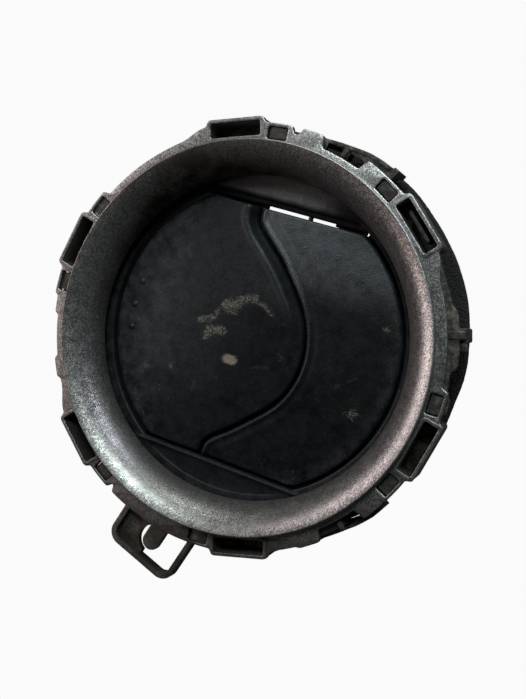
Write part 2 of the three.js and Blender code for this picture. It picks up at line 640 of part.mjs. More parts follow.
// A round spine along the hinge axis, held to the plate at both ends, with the crank in the middle.
function makeFlap(side, x) {
  const backs = FLAP_TOP - FLAP_THICKNESS + 0.5;
  const spine = barAlongY(SPINE_RADIUS, x, HINGE_Z, -SPINE_END, SPINE_END);
  const ribs = [-1, 1].map((end) =>
    block(x - SPINE_RADIUS, x + SPINE_RADIUS, end * SPINE_BLOCK.middle - SPINE_BLOCK.half,
      end * SPINE_BLOCK.middle + SPINE_BLOCK.half, HINGE_Z, backs));
  const end = crankEnd(x);
  const half = CRANK_THICKNESS / 2;
  const lean = degrees(CRANK_LEAN);
  const armShape = new THREE.BoxGeometry(CRANK_WIDTH, CRANK_THICKNESS, CRANK_LENGTH);
  armShape.translate(0, 0, -CRANK_LENGTH / 2).rotateY(lean).translate(x, 0, HINGE_Z);
  const crank = solidOf(armShape).add(barAlongY(CRANK_END_RADIUS, end.x, end.z, -half, half));
  const bores = [
    ...[1, -1].map((way) => barBetween(PIN_RADIUS + PRESS_FIT, x, way, PIN_START - 0.3, SPINE_END + 1)),
    barAlongY(LINK_PIN_RADIUS + PRESS_FIT, end.x, end.z, -half - 1, half + 1),
  ];
  const pieces = [flapPlate(side), spine, ...ribs, crank];
  if (side < 0) pieces.push(...fingerDots(), centreRib(x, backs));
  else pieces.push(splitLip());
  return join(pieces).subtract(join(bores));
}

// A lip that follows the split behind the other flap's edge.
function splitLip() {
  const [start, root] = LIP_ROOT.map((inset) => splitEdge(SPLIT_GAP / 2 + inset));
  const far = splitEdge(-LIP_REACH).reverse();
  const top = FLAP_TOP - FLAP_THICKNESS - LEDGE_DROP;
  const lip = plate(new THREE.Shape([...root, ...far]), top - LIP_THICKNESS, top);
  const riser = plate(new THREE.Shape([...root, ...start.reverse()]), top - LIP_THICKNESS, top + 1);
  return lip.add(riser);
}

function centreRib(x, top) {
  return block(x - CENTRE_RIB.half, x + CENTRE_RIB.half, -CENTRE_RIB.reach, CENTRE_RIB.reach, HINGE_Z, top);
}

function fingerDots() {
  return DOT_ANGLES.map((angle) => {
    const dot = new THREE.SphereGeometry(DOT_RADIUS, 12, 8);
    dot.translate(DOT_CIRCLE * Math.cos(degrees(angle)), DOT_CIRCLE * Math.sin(degrees(angle)), FLAP_TOP - DOT_SINK);
    return solidOf(dot);
  });
}

function makeHingePin({ x, bushStart }, side) {
  return barBetween(PIN_RADIUS, x, side, PIN_START, bushStart + BUSH_LENGTH);
}

// ---------- link ----------

const linkStart = CRANK_THICKNESS / 2 + LINK_GAP;
const linkEnd = linkStart + LINK_THICKNESS;

function makeLinkBar() {
  const left = crankEnd(LEFT_HINGE_X);
  const right = crankEnd(RIGHT_HINGE_X);
  const ends = [left, right].map((end) => barAlongY(CRANK_END_RADIUS, end.x, end.z, linkStart, linkEnd));
  const bar = block(left.x, right.x, linkStart, linkEnd, left.z - LINK_HALF_WIDTH, left.z + LINK_HALF_WIDTH);
  const holes = [left, right].map((end) =>
    barAlongY(LINK_PIN_RADIUS + LINK_BORE_CLEARANCE, end.x, end.z, linkStart - 1, linkEnd + 1));
  return join([bar, ...ends]).subtract(join(holes));
}

function makeLinkPin(x) {
  const end = crankEnd(x);
  const shank = barAlongY(LINK_PIN_RADIUS, end.x, end.z, -CRANK_THICKNESS / 2 - 0.4, linkEnd + 0.5);
  const { rim, from, to } = LINK_HEAD;
  return shank.add(barAlongY(LINK_PIN_RADIUS + rim, end.x, end.z, linkEnd + from, linkEnd + to));
}

// ---------- assembly ----------

const graphitePaint = () => finish(0x4c4a49, 0.42, 0.6);
const barePlastic = () => finish(0x23201e, 0.7);
const flapPlastic = () => finish(0x101418, 0.55);
const steel = () => finish(0x8d8f92, 0.35, 0.9);

const vent = new THREE.Group();
vent.position.y = AXIS_Y;
vent.add(
  named('bezel', makeBezel(), graphitePaint()),
  named('collar', makeCollar(), barePlastic()),
  named('barrel', makeBarrel(), barePlastic()),
  named('foam_seal', makeFoam(), finish(0x0c0c0c, 0.98)),
  named('friction_ring', makeFrictionRing(), finish(0x3a3a38, 0.95)),
);

const rotor = new THREE.Group();
rotor.rotation.z = degrees(ROTOR_TURN);
rotor.add(
  named('rotor_ring', makeRotor(), flapPlastic()),
  named('rotor_retainer', makeRetainer(), barePlastic()),
  named('left_flap', makeFlap(-1, LEFT_HINGE_X), flapPlastic()),
  named('right_flap', makeFlap(1, RIGHT_HINGE_X), flapPlastic()),
  named('link_bar', makeLinkBar(), barePlastic()),
);
for (const hinge of hinges) {
  rotor.add(named(`${hinge.name}_link_pin`, makeLinkPin(hinge.x), steel()));
  for (const [end, side] of [['upper', 1], ['lower', -1]]) {
    rotor.add(named(`${hinge.name}_${end}_pin`, makeHingePin(hinge, side), steel()));
    rotor.add(named(`${hinge.name}_${end}_bush`, makeBush(hinge, side), finish(0xb8b4a8, 0.5)));
  }
}
vent.add(rotor);

const assembly = new THREE.Group();
assembly.add(vent);

export default assembly;
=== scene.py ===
"""A round dashboard air vent, out of its panel and laid on its rear rim.

Lengths are in millimetres from the vent's axis, with z up from the rear rim, and each mesh is put
into the row frame once it is made. The rotor's pieces are drawn with their hinges along y and are
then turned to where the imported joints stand.
"""

import json
import math

import bmesh
import bpy
import numpy as np
from mathutils import Matrix, Vector, noise

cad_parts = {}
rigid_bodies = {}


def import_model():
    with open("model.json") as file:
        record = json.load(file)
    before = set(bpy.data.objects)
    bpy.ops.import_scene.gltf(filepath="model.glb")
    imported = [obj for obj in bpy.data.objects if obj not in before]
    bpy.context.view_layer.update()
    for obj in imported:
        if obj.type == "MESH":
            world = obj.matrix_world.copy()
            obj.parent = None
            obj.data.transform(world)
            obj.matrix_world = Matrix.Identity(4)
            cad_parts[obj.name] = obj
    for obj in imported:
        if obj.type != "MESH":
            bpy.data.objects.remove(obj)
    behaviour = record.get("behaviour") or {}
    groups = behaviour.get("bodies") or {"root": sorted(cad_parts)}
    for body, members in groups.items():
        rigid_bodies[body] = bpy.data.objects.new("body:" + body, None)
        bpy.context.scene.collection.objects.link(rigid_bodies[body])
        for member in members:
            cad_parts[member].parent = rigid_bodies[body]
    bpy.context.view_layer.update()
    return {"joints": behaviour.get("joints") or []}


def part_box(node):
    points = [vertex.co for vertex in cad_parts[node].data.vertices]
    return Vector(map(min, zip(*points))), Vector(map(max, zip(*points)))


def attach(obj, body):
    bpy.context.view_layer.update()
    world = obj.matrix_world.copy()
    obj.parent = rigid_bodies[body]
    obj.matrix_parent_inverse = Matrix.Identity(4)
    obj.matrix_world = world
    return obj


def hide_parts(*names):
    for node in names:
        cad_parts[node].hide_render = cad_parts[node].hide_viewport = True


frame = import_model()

# ---------- places and sizes ----------

MM = 0.001


def low_of(node):
    """A CAD node's lowest height, in millimetres."""
    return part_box(node)[0].z / MM


def top_of(node):
    """A CAD node's highest point, in millimetres."""
    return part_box(node)[1].z / MM


def reach_of(node):
    """Half a CAD node's width, in millimetres."""
    low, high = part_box(node)
    return (high.x - low.x) / 2 / MM


joints = {joint["name"]: joint for joint in frame["joints"]}
barrel_low, barrel_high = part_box("barrel")
hinge_axis = joints["left_flap_tilt"]["axis"]

VENT = Matrix.Translation(((barrel_low.x + barrel_high.x) / 2, (barrel_low.y + barrel_high.y) / 2, 0))
VENT = VENT @ Matrix.Scale(MM, 4)
ROTOR = VENT @ Matrix.Rotation(math.atan2(hinge_axis[0], -hinge_axis[1]), 4, "Z")


def hinge_of(side):
    """A point on a flap's hinge axis, in the rotor's millimetres."""
    return ROTOR.inverted() @ Vector(joints[f"{side}_flap_tilt"]["pos_m"])


HEIGHT = top_of("bezel")
CREST_RADIUS = 49.6
FUNNEL_FRONT = 52.0  # middles of the ellipses that the funnel's front and back follow
FUNNEL_BACK = 48.9
RING_RADIUS = 50.0
MOUTH_RADIUS = 42.4
FUNNEL_DEPTH = 11.0
FUNNEL_WALL = 1.6

FLANGE_TOP = HEIGHT - 2
FLANGE_BOTTOM = FLANGE_TOP - 2
FLANGE_RADIUS = 52.6
FRAME_RADIUS = 54.4

POCKET_ANGLES = [30 + 60 * i for i in range(6)]
POCKET_WIDTH = 13.5
POCKET_INNER = 50.7
POCKET_OUTER = 54.5
POCKET_WALL = 0.9
POCKET_DEPTH = 7.7

WINDOW_ANGLES = [42.4, 77.6, 137.6, 162.4, 222.4, 257.6, 317.6, 342.4]
WINDOW_WIDTH = 5.2
WINDOW_INNER = 50.3
WINDOW_OUTER = 53.6
WINDOW_FRAME = 4.2
SHOULDERS = [(30, -1), (90, 1), (210, -1), (270, 1)]  # a pocket, and the side of it that slopes down
SHOULDER_START = 8.5  # degrees from the middle of the pocket
SHOULDER_END = 17
POCKET_REACH = 8.2

NOTCH_ANGLES = [58, 300]
NOTCH_INNER = 51.4
NOTCH_HALF = 6.5

# Wider stretches of the flange, as (middle degrees, half width in degrees, radius).
FLANGE_STEPS = [
    (169, 3, FLANGE_RADIUS + 0.9), (188, 3, FLANGE_RADIUS + 0.9), (244.5, 16.5, FRAME_RADIUS),
    (282.5, 5.5, FLANGE_RADIUS + 1.3), (315, 2.5, FLANGE_RADIUS + 1.2),
]

LOOP_TURN = 235
LOOP_SHIFT = 9.45
LOOP_WIDTH = 21.1
LOOP_REACH = 64.45
LOOP_START = 46
LOOP_ROOT = 53.7
LOOP_WALL = 1.5
LOOP_DEPTH = 3.4
TONGUE = (57.8, 0.6)  # middle of its round end
TONGUE_RADIUS = 2.5

COLLAR_TOP = FLANGE_BOTTOM - 0.3
COLLAR_BOTTOM = low_of("collar")
COLLAR_INNER = 46.9
COLLAR_OUTER = 49.3
COLLAR_FLANGE = 53.5
COLLAR_LIP = 43.7
COLLAR_SHELF = 1.8
SHOW_ANGLES = [60, 120, 180, 240, 300]  # where the collar's flange comes out beyond the bezel's
SHOW_HALF = 20.4

# Outer edges of the collar and its clip housings, as (degrees, radius).
SIDE_EDGE = [
    (-SHOW_HALF, 54.9), (-16, 54.9), (-14, 53.7), (-9.5, 53.4), (-7.5, 55), (-1, 55.2),
    (6, 55.1), (8.5, 53.9), (14, 53.7), (SHOW_HALF, 53.7),
]
CLIP_EDGES = [
    [(44.4, 57.2), (46.5, 56.6), (49, 56.5), (53, 56.1), (58, 55.2), (64, 54.4), (70, 54.2)],
    [(289, 54.7), (294, 54.2), (300, 54.6), (303, 55), (308, 55.4), (311, 55.3)],
]
NOTCH_WELLS = [(58, 1), (58, -1), (300, 1)]  # the notch, and the side of it that the well is on
WELL_INNER = 50.4
WELL_DEPTH = 5
BOSS_REACH = 56.9

BARREL_OUTER = reach_of("barrel")
BARREL_TOP = top_of("barrel")
BARREL_WALL = 1.6
SPIGOT_OUTER = 48.4
SPIGOT_LENGTH = 10.0

ROTOR_TOP = top_of("rotor_ring")
ROTOR_BOTTOM = low_of("rotor_ring")
ROTOR_BORE = 41.0
ROTOR_RIM = 45.9
SLEEVE_INNER = 41.8
SLEEVE_OUTER = 43.0
LAND_EDGE = 34.55
SLIT = (-8.6, 12.7)  # where the upper land has no wall below its edge
UPPER_WALL_END = 19.9
SKIRT_INNER = 33.9
WALL_HEIGHT = 10
RIM_HEIGHT = 3.1
RETAINER_NOTCHES = 8
LEDGE_INNER = 38.4
LEDGE_SPAN = 57  # degrees either side of the right flap's middle
LUG_HALF = 3.1

FLAP_EDGE = 33.7
FLAP_RIM = 40.2
FLAP_TOP = top_of("right_flap")
FLAP_THICKNESS = 2.2
SPLIT_GAP = 0.9
FLAP_MIDDLE = {"left": (-14, 0), "right": (24, -3)}  # tops of the flaps' domes
BACK_RIBS = (-20, -7, 7, 20)
DOT_ANGLES = (170.5, 181.2, 191.5)
DOT_CIRCLE = 35.2

HINGE_X = {side: hinge_of(side).x for side in ("left", "right")}
HINGE_Z = hinge_of("left").z
BUSH_START = {"left": 34.9, "right": 36.8}
BUSH_LENGTH = 2.5
BUSH_RADIUS = 1.9
PIN_RADIUS = 0.65
PIN_START = 29.0
SPINE_RADIUS = 1.9
SPINE_HALF = 32.6

CRANK_LENGTH = 9.0
CRANK_LEAN = math.radians(40)
LINK_START = 1.8
LINK_THICKNESS = 1.8
CHANNEL_HALF = 0.6
LINK_PIN_RADIUS = 0.75
LINK_END_RADIUS = 2.3

# The S-shaped split between the flaps, from the upper land to the lower one.
SPLIT_POINTS = [
    (-7.2, FLAP_EDGE), (-5.8, 29), (3.6, 20.3), (12.4, 9), (15.2, -2),
    (12.2, -13), (3, -23), (-4.4, -29.5), (-5.6, -FLAP_EDGE),
]


# ---------- outlines ----------

def ring_of(radius, steps=360, centre=(0, 0)):
    turns = np.linspace(0, 2 * math.pi, steps, endpoint=False)
    return [(centre[0] + radius * math.cos(t), centre[1] + radius * math.sin(t)) for t in turns]


def arc(centre, radius, start, end, steps):
    """Points on an arc, with its angles in degrees."""
    turns = np.radians(np.linspace(start, end, steps + 1))
    return [(centre[0] + radius * math.cos(t), centre[1] + radius * math.sin(t)) for t in turns]


def filleted(corners, radius, steps=4):
    """A closed outline with its corners rounded. A corner may carry its own radius."""
    made = []
    for i, corner in enumerate(corners):
        point = Vector(corner[:2])
        before = Vector(corners[i - 1][:2]) - point
        after = Vector(corners[(i + 1) % len(corners)][:2]) - point
        half = before.angle(after) / 2
        wanted = corner[2] if len(corner) > 2 else radius
        reach = min(wanted / math.tan(half), 0.45 * before.length, 0.45 * after.length)
        if reach < 0.01:
            made.append(tuple(point))
            continue
        middle = (before.normalized() + after.normalized()).normalized()
        centre = point + middle * (reach / math.cos(half))
        start = point + before.normalized() * reach - centre
        end = point + after.normalized() * reach - centre
        for k in range(steps + 1):
            spoke = start.lerp(end, k / steps).normalized() * start.length
            made.append(tuple(centre + spoke))
    return made


def rectangle(x0, x1, y0, y1, radius):
    return filleted([(x0, y0), (x1, y0), (x1, y1), (x0, y1)], radius)


def turned_to(points, degrees):
    """The points turned about the vent's axis."""
    c = math.cos(math.radians(degrees))
    s = math.sin(math.radians(degrees))
    return [(x * c - y * s, x * s + y * c) for x, y in points]


def radial_box(inner, outer, half, corner, degrees):
    """A rounded rectangle across a spoke at an angle, between two distances from the axis."""
    return turned_to(rectangle(inner, outer, -half, half, corner), degrees)


def away(angle, middle):
    """Degrees from middle, between -180 and 180."""
    return (angle - middle + 180) % 360 - 180


def polar_points(radii, angles):
    """Points about the vent's axis, with their angles in degrees."""
    turns = np.radians(angles)
    return list(zip(radii * np.cos(turns), radii * np.sin(turns)))


def polar_outline(reach, smooth=0.35, step=0.25):
    """A closed outline from radii at each angle, with its steps softened over a few tenths of a degree."""
    angles = np.arange(0, 360, step)
    spread = np.arange(-6, 7)
    weights = np.exp(-0.5 * (spread * step / smooth) ** 2)
    radii = sum(w * np.roll(reach(angles), k) for w, k in zip(weights, spread)) / weights.sum()
    return polar_points(radii, angles)


def sector_outline(inner, outer, start, end, radius=0.5):
    steps = max(3, int(abs(end - start) / 1.5))
    outside = arc((0, 0), outer, start, end, steps)
    inside = arc((0, 0), inner, end, start, steps)
    corners = [(x, y, 0) for x, y in outside + inside]
    for place in (0, steps, steps + 1, -1):
        corners[place] = (*corners[place][:2], radius)
    return filleted(corners, 0)


# ---------- mesh making ----------

def cleaned(mesh, dissolve=False):
    """The mesh with doubled points merged and its faces turned outward."""
    clean = bmesh.new()
    clean.from_mesh(mesh)
    bmesh.ops.remove_doubles(clean, verts=clean.verts, dist=1e-4)
    if dissolve:
        bmesh.ops.dissolve_degenerate(clean, edges=clean.edges, dist=1e-5)
    bmesh.ops.recalc_face_normals(clean, faces=clean.faces)
    clean.to_mesh(mesh)
    clean.free()
    return mesh


def mesh_from(points, faces):
    mesh = bpy.data.meshes.new("part")
    mesh.from_pydata([tuple(map(float, p)) for p in points], [], faces)
    return cleaned(mesh)


def turned_points(outline, steps):
    turns = np.linspace(0, 2 * math.pi, steps, endpoint=False)
    return [(r * math.cos(t), r * math.sin(t), z) for t in turns for r, z in outline]


def turned_faces(count, steps, closed=True):
    """The faces between the copies of an outline of count points."""
    faces = []
    for a in range(steps):
        b = (a + 1) % steps
        for i in range(count if closed else count - 1):
            j = (i + 1) % count
            faces.append((a * count + i, b * count + i, b * count + j, a * count + j))
    return faces


def lathe(outline, steps=300):
    """A closed outline of (radius, z) points turned about the vent's axis."""
    return mesh_from(turned_points(outline, steps), turned_faces(len(outline), steps))


def plate(outlines, bottom, top, edge=0.25):
    """A flat plate with rounded edges. The first outline is its outside, and the rest are holes."""
    curve = bpy.data.curves.new("plate", "CURVE")
    curve.dimensions = "2D"
    curve.fill_mode = "BOTH"
    curve.extrude = (top - bottom) / 2 - edge
    curve.bevel_depth = edge
    curve.bevel_resolution = 2
    curve.offset = -edge
    for outline in outlines:
        spline = curve.splines.new("POLY")
        spline.points.add(len(outline) - 1)
        spline.use_cyclic_u = True
        for point, (x, y) in zip(spline.points, outline):
            point.co = (x, y, 0, 1)
    holder = bpy.data.objects.new("plate", curve)
    bpy.context.scene.collection.objects.link(holder)
    bpy.context.view_layer.update()
    drawn = holder.evaluated_get(bpy.context.evaluated_depsgraph_get())
    mesh = bpy.data.meshes.new_from_object(drawn)
    bpy.data.objects.remove(holder)
    return placed(cleaned(mesh, True), Matrix.Translation((0, 0, (bottom + top) / 2)))


def combined(mesh, others, operation="UNION"):
    """The mesh with the others joined to it, or cut from it."""
    scene = bpy.context.scene.collection.objects
    base = bpy.data.objects.new("base", mesh)
    scene.link(base)
    tools = []
    for other in others:
        tool = bpy.data.objects.new("tool", other)
        scene.link(tool)
        tools.append(tool)
        step = base.modifiers.new("step", "BOOLEAN")
        step.operation = operation
        step.solver = "MANIFOLD"
        step.object = tool
    bpy.context.view_layer.update()
    result = bpy.data.meshes.new_from_object(base.evaluated_get(bpy.context.evaluated_depsgraph_get()))
    for used in [base, *tools]:
        bpy.data.objects.remove(used)
    return result


def placed(mesh, matrix):
    mesh.transform(matrix)
    return mesh


def slab(x0, x1, y0, y1, z0, z1, radius=0.3, edge=0.2):
    return plate([rectangle(x0, x1, y0, y1, radius)], z0, z1, edge)


def upright(mesh):
    """A plate drawn in x and y is stood up, so that it is drawn in x and z."""
    return placed(mesh, Matrix.Rotation(math.pi / 2, 4, "X"))


def round_bar(profile, x, z, side=1, steps=32):
    """A turned piece whose axis lies along y, from (radius, distance) points on one side."""
    bar = lathe(profile, steps)
    turn = Matrix.Rotation(-side * math.pi / 2, 4, "X")
    return placed(bar, Matrix.Translation((x, 0, z)) @ turn)


def hinge_bores(x, radius, start, end):
    """Round cutters along a hinge's axis, one towards each end."""
    profile = [(0, start), (radius, start), (radius, end), (0, end)]
    return [round_bar(profile, x, HINGE_Z, side) for side in (1, -1)]


def spread(left, right, near, across):
    """Places from left to right in each row: close together at both ends, and even between them."""
    width = (right - left)[:, None]
    squeeze = np.minimum(1, width / (3 * near[-1]))
    start = left[:, None] + near[None, :] * squeeze
    end = right[:, None] - near[None, ::-1] * squeeze
    inside = np.linspace(0, 1, across + 2)[None, 1:-1]
    middle = start[:, -1:] + (end[:, :1] - start[:, -1:]) * inside
    return np.hstack([start, middle, end])


def faced_plate(rows, left, right, front, back, near, across):
    """A closed plate whose rows run from left to right, with its faces at heights front and back."""
    x = spread(left, right, near, across)
    y = np.repeat(rows[:, None], x.shape[1], axis=1)
    count, width = x.shape
    points = np.vstack([
        np.column_stack([x.ravel(), y.ravel(), front(x, y).ravel()]),
        np.column_stack([x.ravel(), y.ravel(), back(x, y).ravel()]),
    ])
    behind = count * width
    faces = []
    for i in range(count - 1):
        for j in range(width - 1):
            a = i * width + j
            faces.append((a, a + 1, a + width + 1, a + width))
            faces.append((behind + a, behind + a + width, behind + a + width + 1, behind + a + 1))
    rim = list(range(width))
    rim += [i * width + width - 1 for i in range(1, count)]
    rim += [(count - 1) * width + j for j in range(width - 2, -1, -1)]
    rim += [i * width for i in range(count - 2, 0, -1)]
    for a, b in zip(rim, rim[1:] + rim[:1]):
        faces.append((a, behind + a, behind + b, b))
    return mesh_from(points, faces)


def points_of(mesh):
    flat = np.zeros(len(mesh.vertices) * 3)
    mesh.vertices.foreach_get("co", flat)
    return flat.reshape(-1, 3)


def polar_of(mesh):
    """Each vertex's distance from the axis, its angle in degrees, and its height."""
    x, y, z = points_of(mesh).T
    return np.hypot(x, y), np.degrees(np.arctan2(y, x)), z


def mark(mesh, name, values):
    """Stores a number at each vertex, held between 0 and 1, for the materials."""
    layer = mesh.attributes.new(name, "FLOAT", "POINT")
    held = np.full(len(mesh.vertices), np.clip(values, 0, 1), np.float32)
    layer.data.foreach_set("value", held)


def show(name, mesh, place, material, body, nodes, sharp=32):
    """Makes the finished piece: in the row frame, shaded, riding on its body in place of its CAD nodes."""
    mesh.transform(place)
    mesh.name = name
    mesh.shade_smooth()
    mesh.set_sharp_from_angle(angle=math.radians(sharp))
    mesh.materials.clear()
    mesh.materials.append(material)
    piece = bpy.data.objects.new(name, mesh)
    bpy.context.scene.collection.objects.link(piece)
    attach(piece, body)
    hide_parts(*nodes)
    return piece


def smoothstep(low, high, value):
    t = np.clip((value - low) / (high - low), 0, 1)
    return t * t * (3 - 2 * t)


def bell(distance, width):
    """1 at no distance, falling to 0 beyond the width."""
    return np.exp(-(distance / width) ** 2)


# ---------- materials ----------

class Paint:
    """A Principled material and the nodes that feed it. Sizes are in millimetres."""

    def __init__(self, name, **sockets):
        self.material = bpy.data.materials.new(name)
        self.material.use_nodes = True
        self.tree = self.material.node_tree
        self.shader = self.tree.nodes["Principled BSDF"]
        for socket, value in sockets.items():
            self.shader.inputs[socket.replace("_", " ")].default_value = value
        self.place = self.add("ShaderNodeTexCoord").outputs["Object"]

    def add(self, kind, inputs=None, **settings):
        node = self.tree.nodes.new(kind)
        for key, value in settings.items():
            setattr(node, key, value)
        for key, value in (inputs or {}).items():
            if isinstance(value, bpy.types.NodeSocket):
                self.tree.links.new(value, node.inputs[key])
            else:
                node.inputs[key].default_value = value
        return node

    def feed(self, socket, value):
        self.tree.links.new(value, self.shader.inputs[socket])

    def noise(self, size, detail=4.0, roughness=0.55, distortion=0.0):
        inputs = {"Vector": self.place, "Scale": 1 / (size * MM), "Detail": detail,
                  "Roughness": roughness, "Distortion": distortion}
        return self.add("ShaderNodeTexNoise", inputs).outputs["Fac"]

    def cells(self, size, output="Distance"):
        inputs = {"Vector": self.place, "Scale": 1 / (size * MM)}
        return self.add("ShaderNodeTexVoronoi", inputs).outputs[output]

    def attribute(self, name):
        return self.add("ShaderNodeAttribute", attribute_name=name).outputs["Fac"]

    def times(self, a, b):
        return self.add("ShaderNodeMath", {0: a, 1: b}, operation="MULTIPLY").outputs[0]

    def plus(self, a, b, clamp=False):
        return self.add("ShaderNodeMath", {0: a, 1: b}, operation="ADD", use_clamp=clamp).outputs[0]

    def range(self, value, low, high, to_low=0.0, to_high=1.0):
        inputs = {"Value": value, "From Min": low, "From Max": high, "To Min": to_low, "To Max": to_high}
        return self.add("ShaderNodeMapRange", inputs, interpolation_type="SMOOTHSTEP").outputs["Result"]

    def cloud(self, size, detail, low=0.0, high=1.0):
        """Soft noise that runs from low to high."""
        return self.range(self.noise(size, detail), 0.3, 0.7, low, high)

    def mix(self, share, a, b):
        node = self.add("ShaderNodeMix", data_type="RGBA")
        for socket, value in ((node.inputs[0], share), (node.inputs[6], a), (node.inputs[7], b)):
            if isinstance(value, bpy.types.NodeSocket):
                self.tree.links.new(value, socket)
            else:
                socket.default_value = value if isinstance(value, float) else (*value, 1.0)
        return node.outputs[2]

    def bump(self, height, depth, strength=1.0, normal=None):
        inputs = {"Height": height, "Distance": depth * MM, "Strength": strength}
        if normal is not None:
            inputs["Normal"] = normal
        return self.add("ShaderNodeBump", inputs).outputs["Normal"]

    def vector(self, operation, inputs):
        return self.add("ShaderNodeVectorMath", inputs, operation=operation).outputs[0]

    def flakes(self, size, tilt):
        """The surface normal, tilted a little at random in each paint flake."""
        centred = self.vector("SUBTRACT", {0: self.cells(size, "Color"), 1: (0.5, 0.5, 0.5)})
        tilted = self.vector("SCALE", {0: centred, "Scale": tilt})
        normal = self.add("ShaderNodeNewGeometry").outputs["Normal"]
        return self.vector("NORMALIZE", {0: self.vector("ADD", {0: normal, 1: tilted})})


FLAKE = 0.27
MOST_SHEEN = 3  # the sheen that a stored 1 stands for


def graphite_paint():
    """Metallic graphite paint: flakes that sparkle, silver overspray with painted highlights and painted
    edge glints, and thin brown dirt with painted shade.
    """
    paint = Paint("graphite_paint", Metallic=0.85)
    sparkle = paint.range(paint.cells(FLAKE, "Color"), 0.2, 0.95)
    body = paint.mix(sparkle, (0.17, 0.166, 0.163), (0.36, 0.35, 0.345))
    # Painted edge glint: silver on the flange's rounded edges, picked by how far the surface tilts.
    facing = paint.add("ShaderNodeNewGeometry").outputs["True Normal"]
    upward = paint.add("ShaderNodeSeparateXYZ", {0: facing}).outputs["Z"]
    bevel = paint.times(paint.range(upward, 0.25, 0.5), paint.range(upward, 0.97, 0.90))
    painted_edge_glint = paint.times(bevel, paint.attribute("edge"))
    painted_edge_glint = paint.times(painted_edge_glint, paint.range(paint.noise(2.2, 4.0), 0.35, 0.6, 0.35, 1.0))
    # Silver where the marks say: overspray, painted highlights and the painted edge glint.
    overspray_and_glints = paint.plus(paint.attribute("overspray_and_highlight"), painted_edge_glint, clamp=True)
    speckle = paint.range(paint.noise(0.32, 2.0), 0.42, 0.58)
    overspray_and_highlight = paint.times(overspray_and_glints, paint.range(speckle, 0.0, 1.0, 0.22, 1.0))
    body = paint.mix(overspray_and_highlight, body, (0.75, 0.76, 0.76))
    # Dark brown where the mesh is marked: dirt at the lip, painted shade elsewhere.
    dirt_and_shade_amount = paint.times(paint.attribute("dirt_and_shade"), paint.range(paint.noise(5, 6.0), 0.3, 0.62, 0.45, 1.0))
    body = paint.mix(dirt_and_shade_amount, body, (0.045, 0.036, 0.026))
    paint.feed("Base Color", body)
    rough = paint.cloud(2.5, 3.0, 0.34, 0.46)
    paint.feed("Roughness", paint.plus(rough, paint.times(dirt_and_shade_amount, 0.3), clamp=True))
    paint.feed("Normal", paint.bump(paint.noise(0.3, 2.0), 0.01, 0.5, paint.flakes(FLAKE, 0.13)))
    return paint.material


def bare_plastic():
    """Unpainted brown-black plastic with a moulded grain, and pale dust and painted light where the mesh
    is marked.
    """
    paint = Paint("bare_plastic", Metallic=0.0)
    cloud = paint.cloud(7, 6.0)
    body = paint.mix(cloud, (0.016, 0.0145, 0.013), (0.034, 0.030, 0.026))
    # The marked pale colour is real dust on most parts and painted light on the collar's exposed flange.
    dust_and_light = paint.times(paint.attribute("dust_and_light"), paint.range(paint.noise(1.6, 8.0, 0.7), 0.42, 0.66))
    body = paint.mix(dust_and_light, body, (0.17, 0.155, 0.125))
    paint.feed("Base Color", body)
    paint.feed("Roughness", paint.cloud(1.1, 4.0, 0.42, 0.62))
    paint.feed("Normal", paint.bump(paint.noise(0.5, 4.0), 0.05, 0.5))
    return paint.material


def flap_plastic():
    """Blue-black grained plastic, dusty at its edges, with dried smears and scratches, and with painted
    light: pale lit patches and a painted sheen that changes from place to place.
    """
    paint = Paint("flap_plastic", Metallic=0.0)
    cloud = paint.cloud(9, 5.0)
    body = paint.mix(cloud, (0.0028, 0.0036, 0.0045), (0.0055, 0.0068, 0.0082))
    # A pale layer: dust at the edges, and painted light on the upper land's lens and the flaps' lit
    # patches.
    dust_and_light_layer = paint.times(paint.attribute("dust_and_light"), paint.range(paint.noise(3.2, 7.0, 0.65), 0.25, 0.75))
    body = paint.mix(dust_and_light_layer, body, (0.048, 0.046, 0.052))
    torn = paint.range(paint.noise(1.5, 9.0, 0.72, 1.2), 0.25, 0.75, -0.25, 0.85)
    ragged = paint.plus(paint.attribute("smear"), torn)
    crust = paint.range(paint.noise(0.5, 5.0), 0.38, 0.62, 0.05, 1.0)
    smear = paint.times(paint.range(ragged, 0.55, 1.35), crust)
    body = paint.mix(smear, body, (0.175, 0.16, 0.13))
    specks = paint.range(paint.noise(0.6, 3.0), 0.62, 0.72)
    body = paint.mix(paint.times(specks, dust_and_light_layer), body, (0.16, 0.16, 0.16))
    mottle = paint.range(paint.noise(0.6, 4.0), 0.35, 0.65, 0.6, 1.0)
    # A pale brown colour: real scratches and a beige oval on the left flap, and painted light on the upper
    # land's lens.
    body = paint.mix(paint.times(paint.attribute("pale_mark"), mottle), body, (0.30, 0.245, 0.19))
    paint.feed("Base Color", body)
    rough = paint.cloud(0.7, 3.0, 0.38, 0.52)
    marks = paint.plus(smear, paint.times(dust_and_light_layer, 0.35))
    paint.feed("Roughness", paint.plus(rough, paint.times(marks, 0.4), clamp=True))
    # Painted sheen: the specular level follows a mark, so lit parts shine more and shaded parts less.
    paint.feed("Specular IOR Level", paint.times(paint.attribute("sheen"), 0.5 * MOST_SHEEN))
    paint.shader.inputs["Specular Tint"].default_value = (0.80, 0.93, 1.0, 1.0)
    grain = paint.times(paint.cells(0.42), paint.attribute("grain"))
    raised = paint.plus(grain, paint.times(smear, 0.8))
    paint.feed("Normal", paint.bump(raised, 0.07, 0.7))
    return paint.material


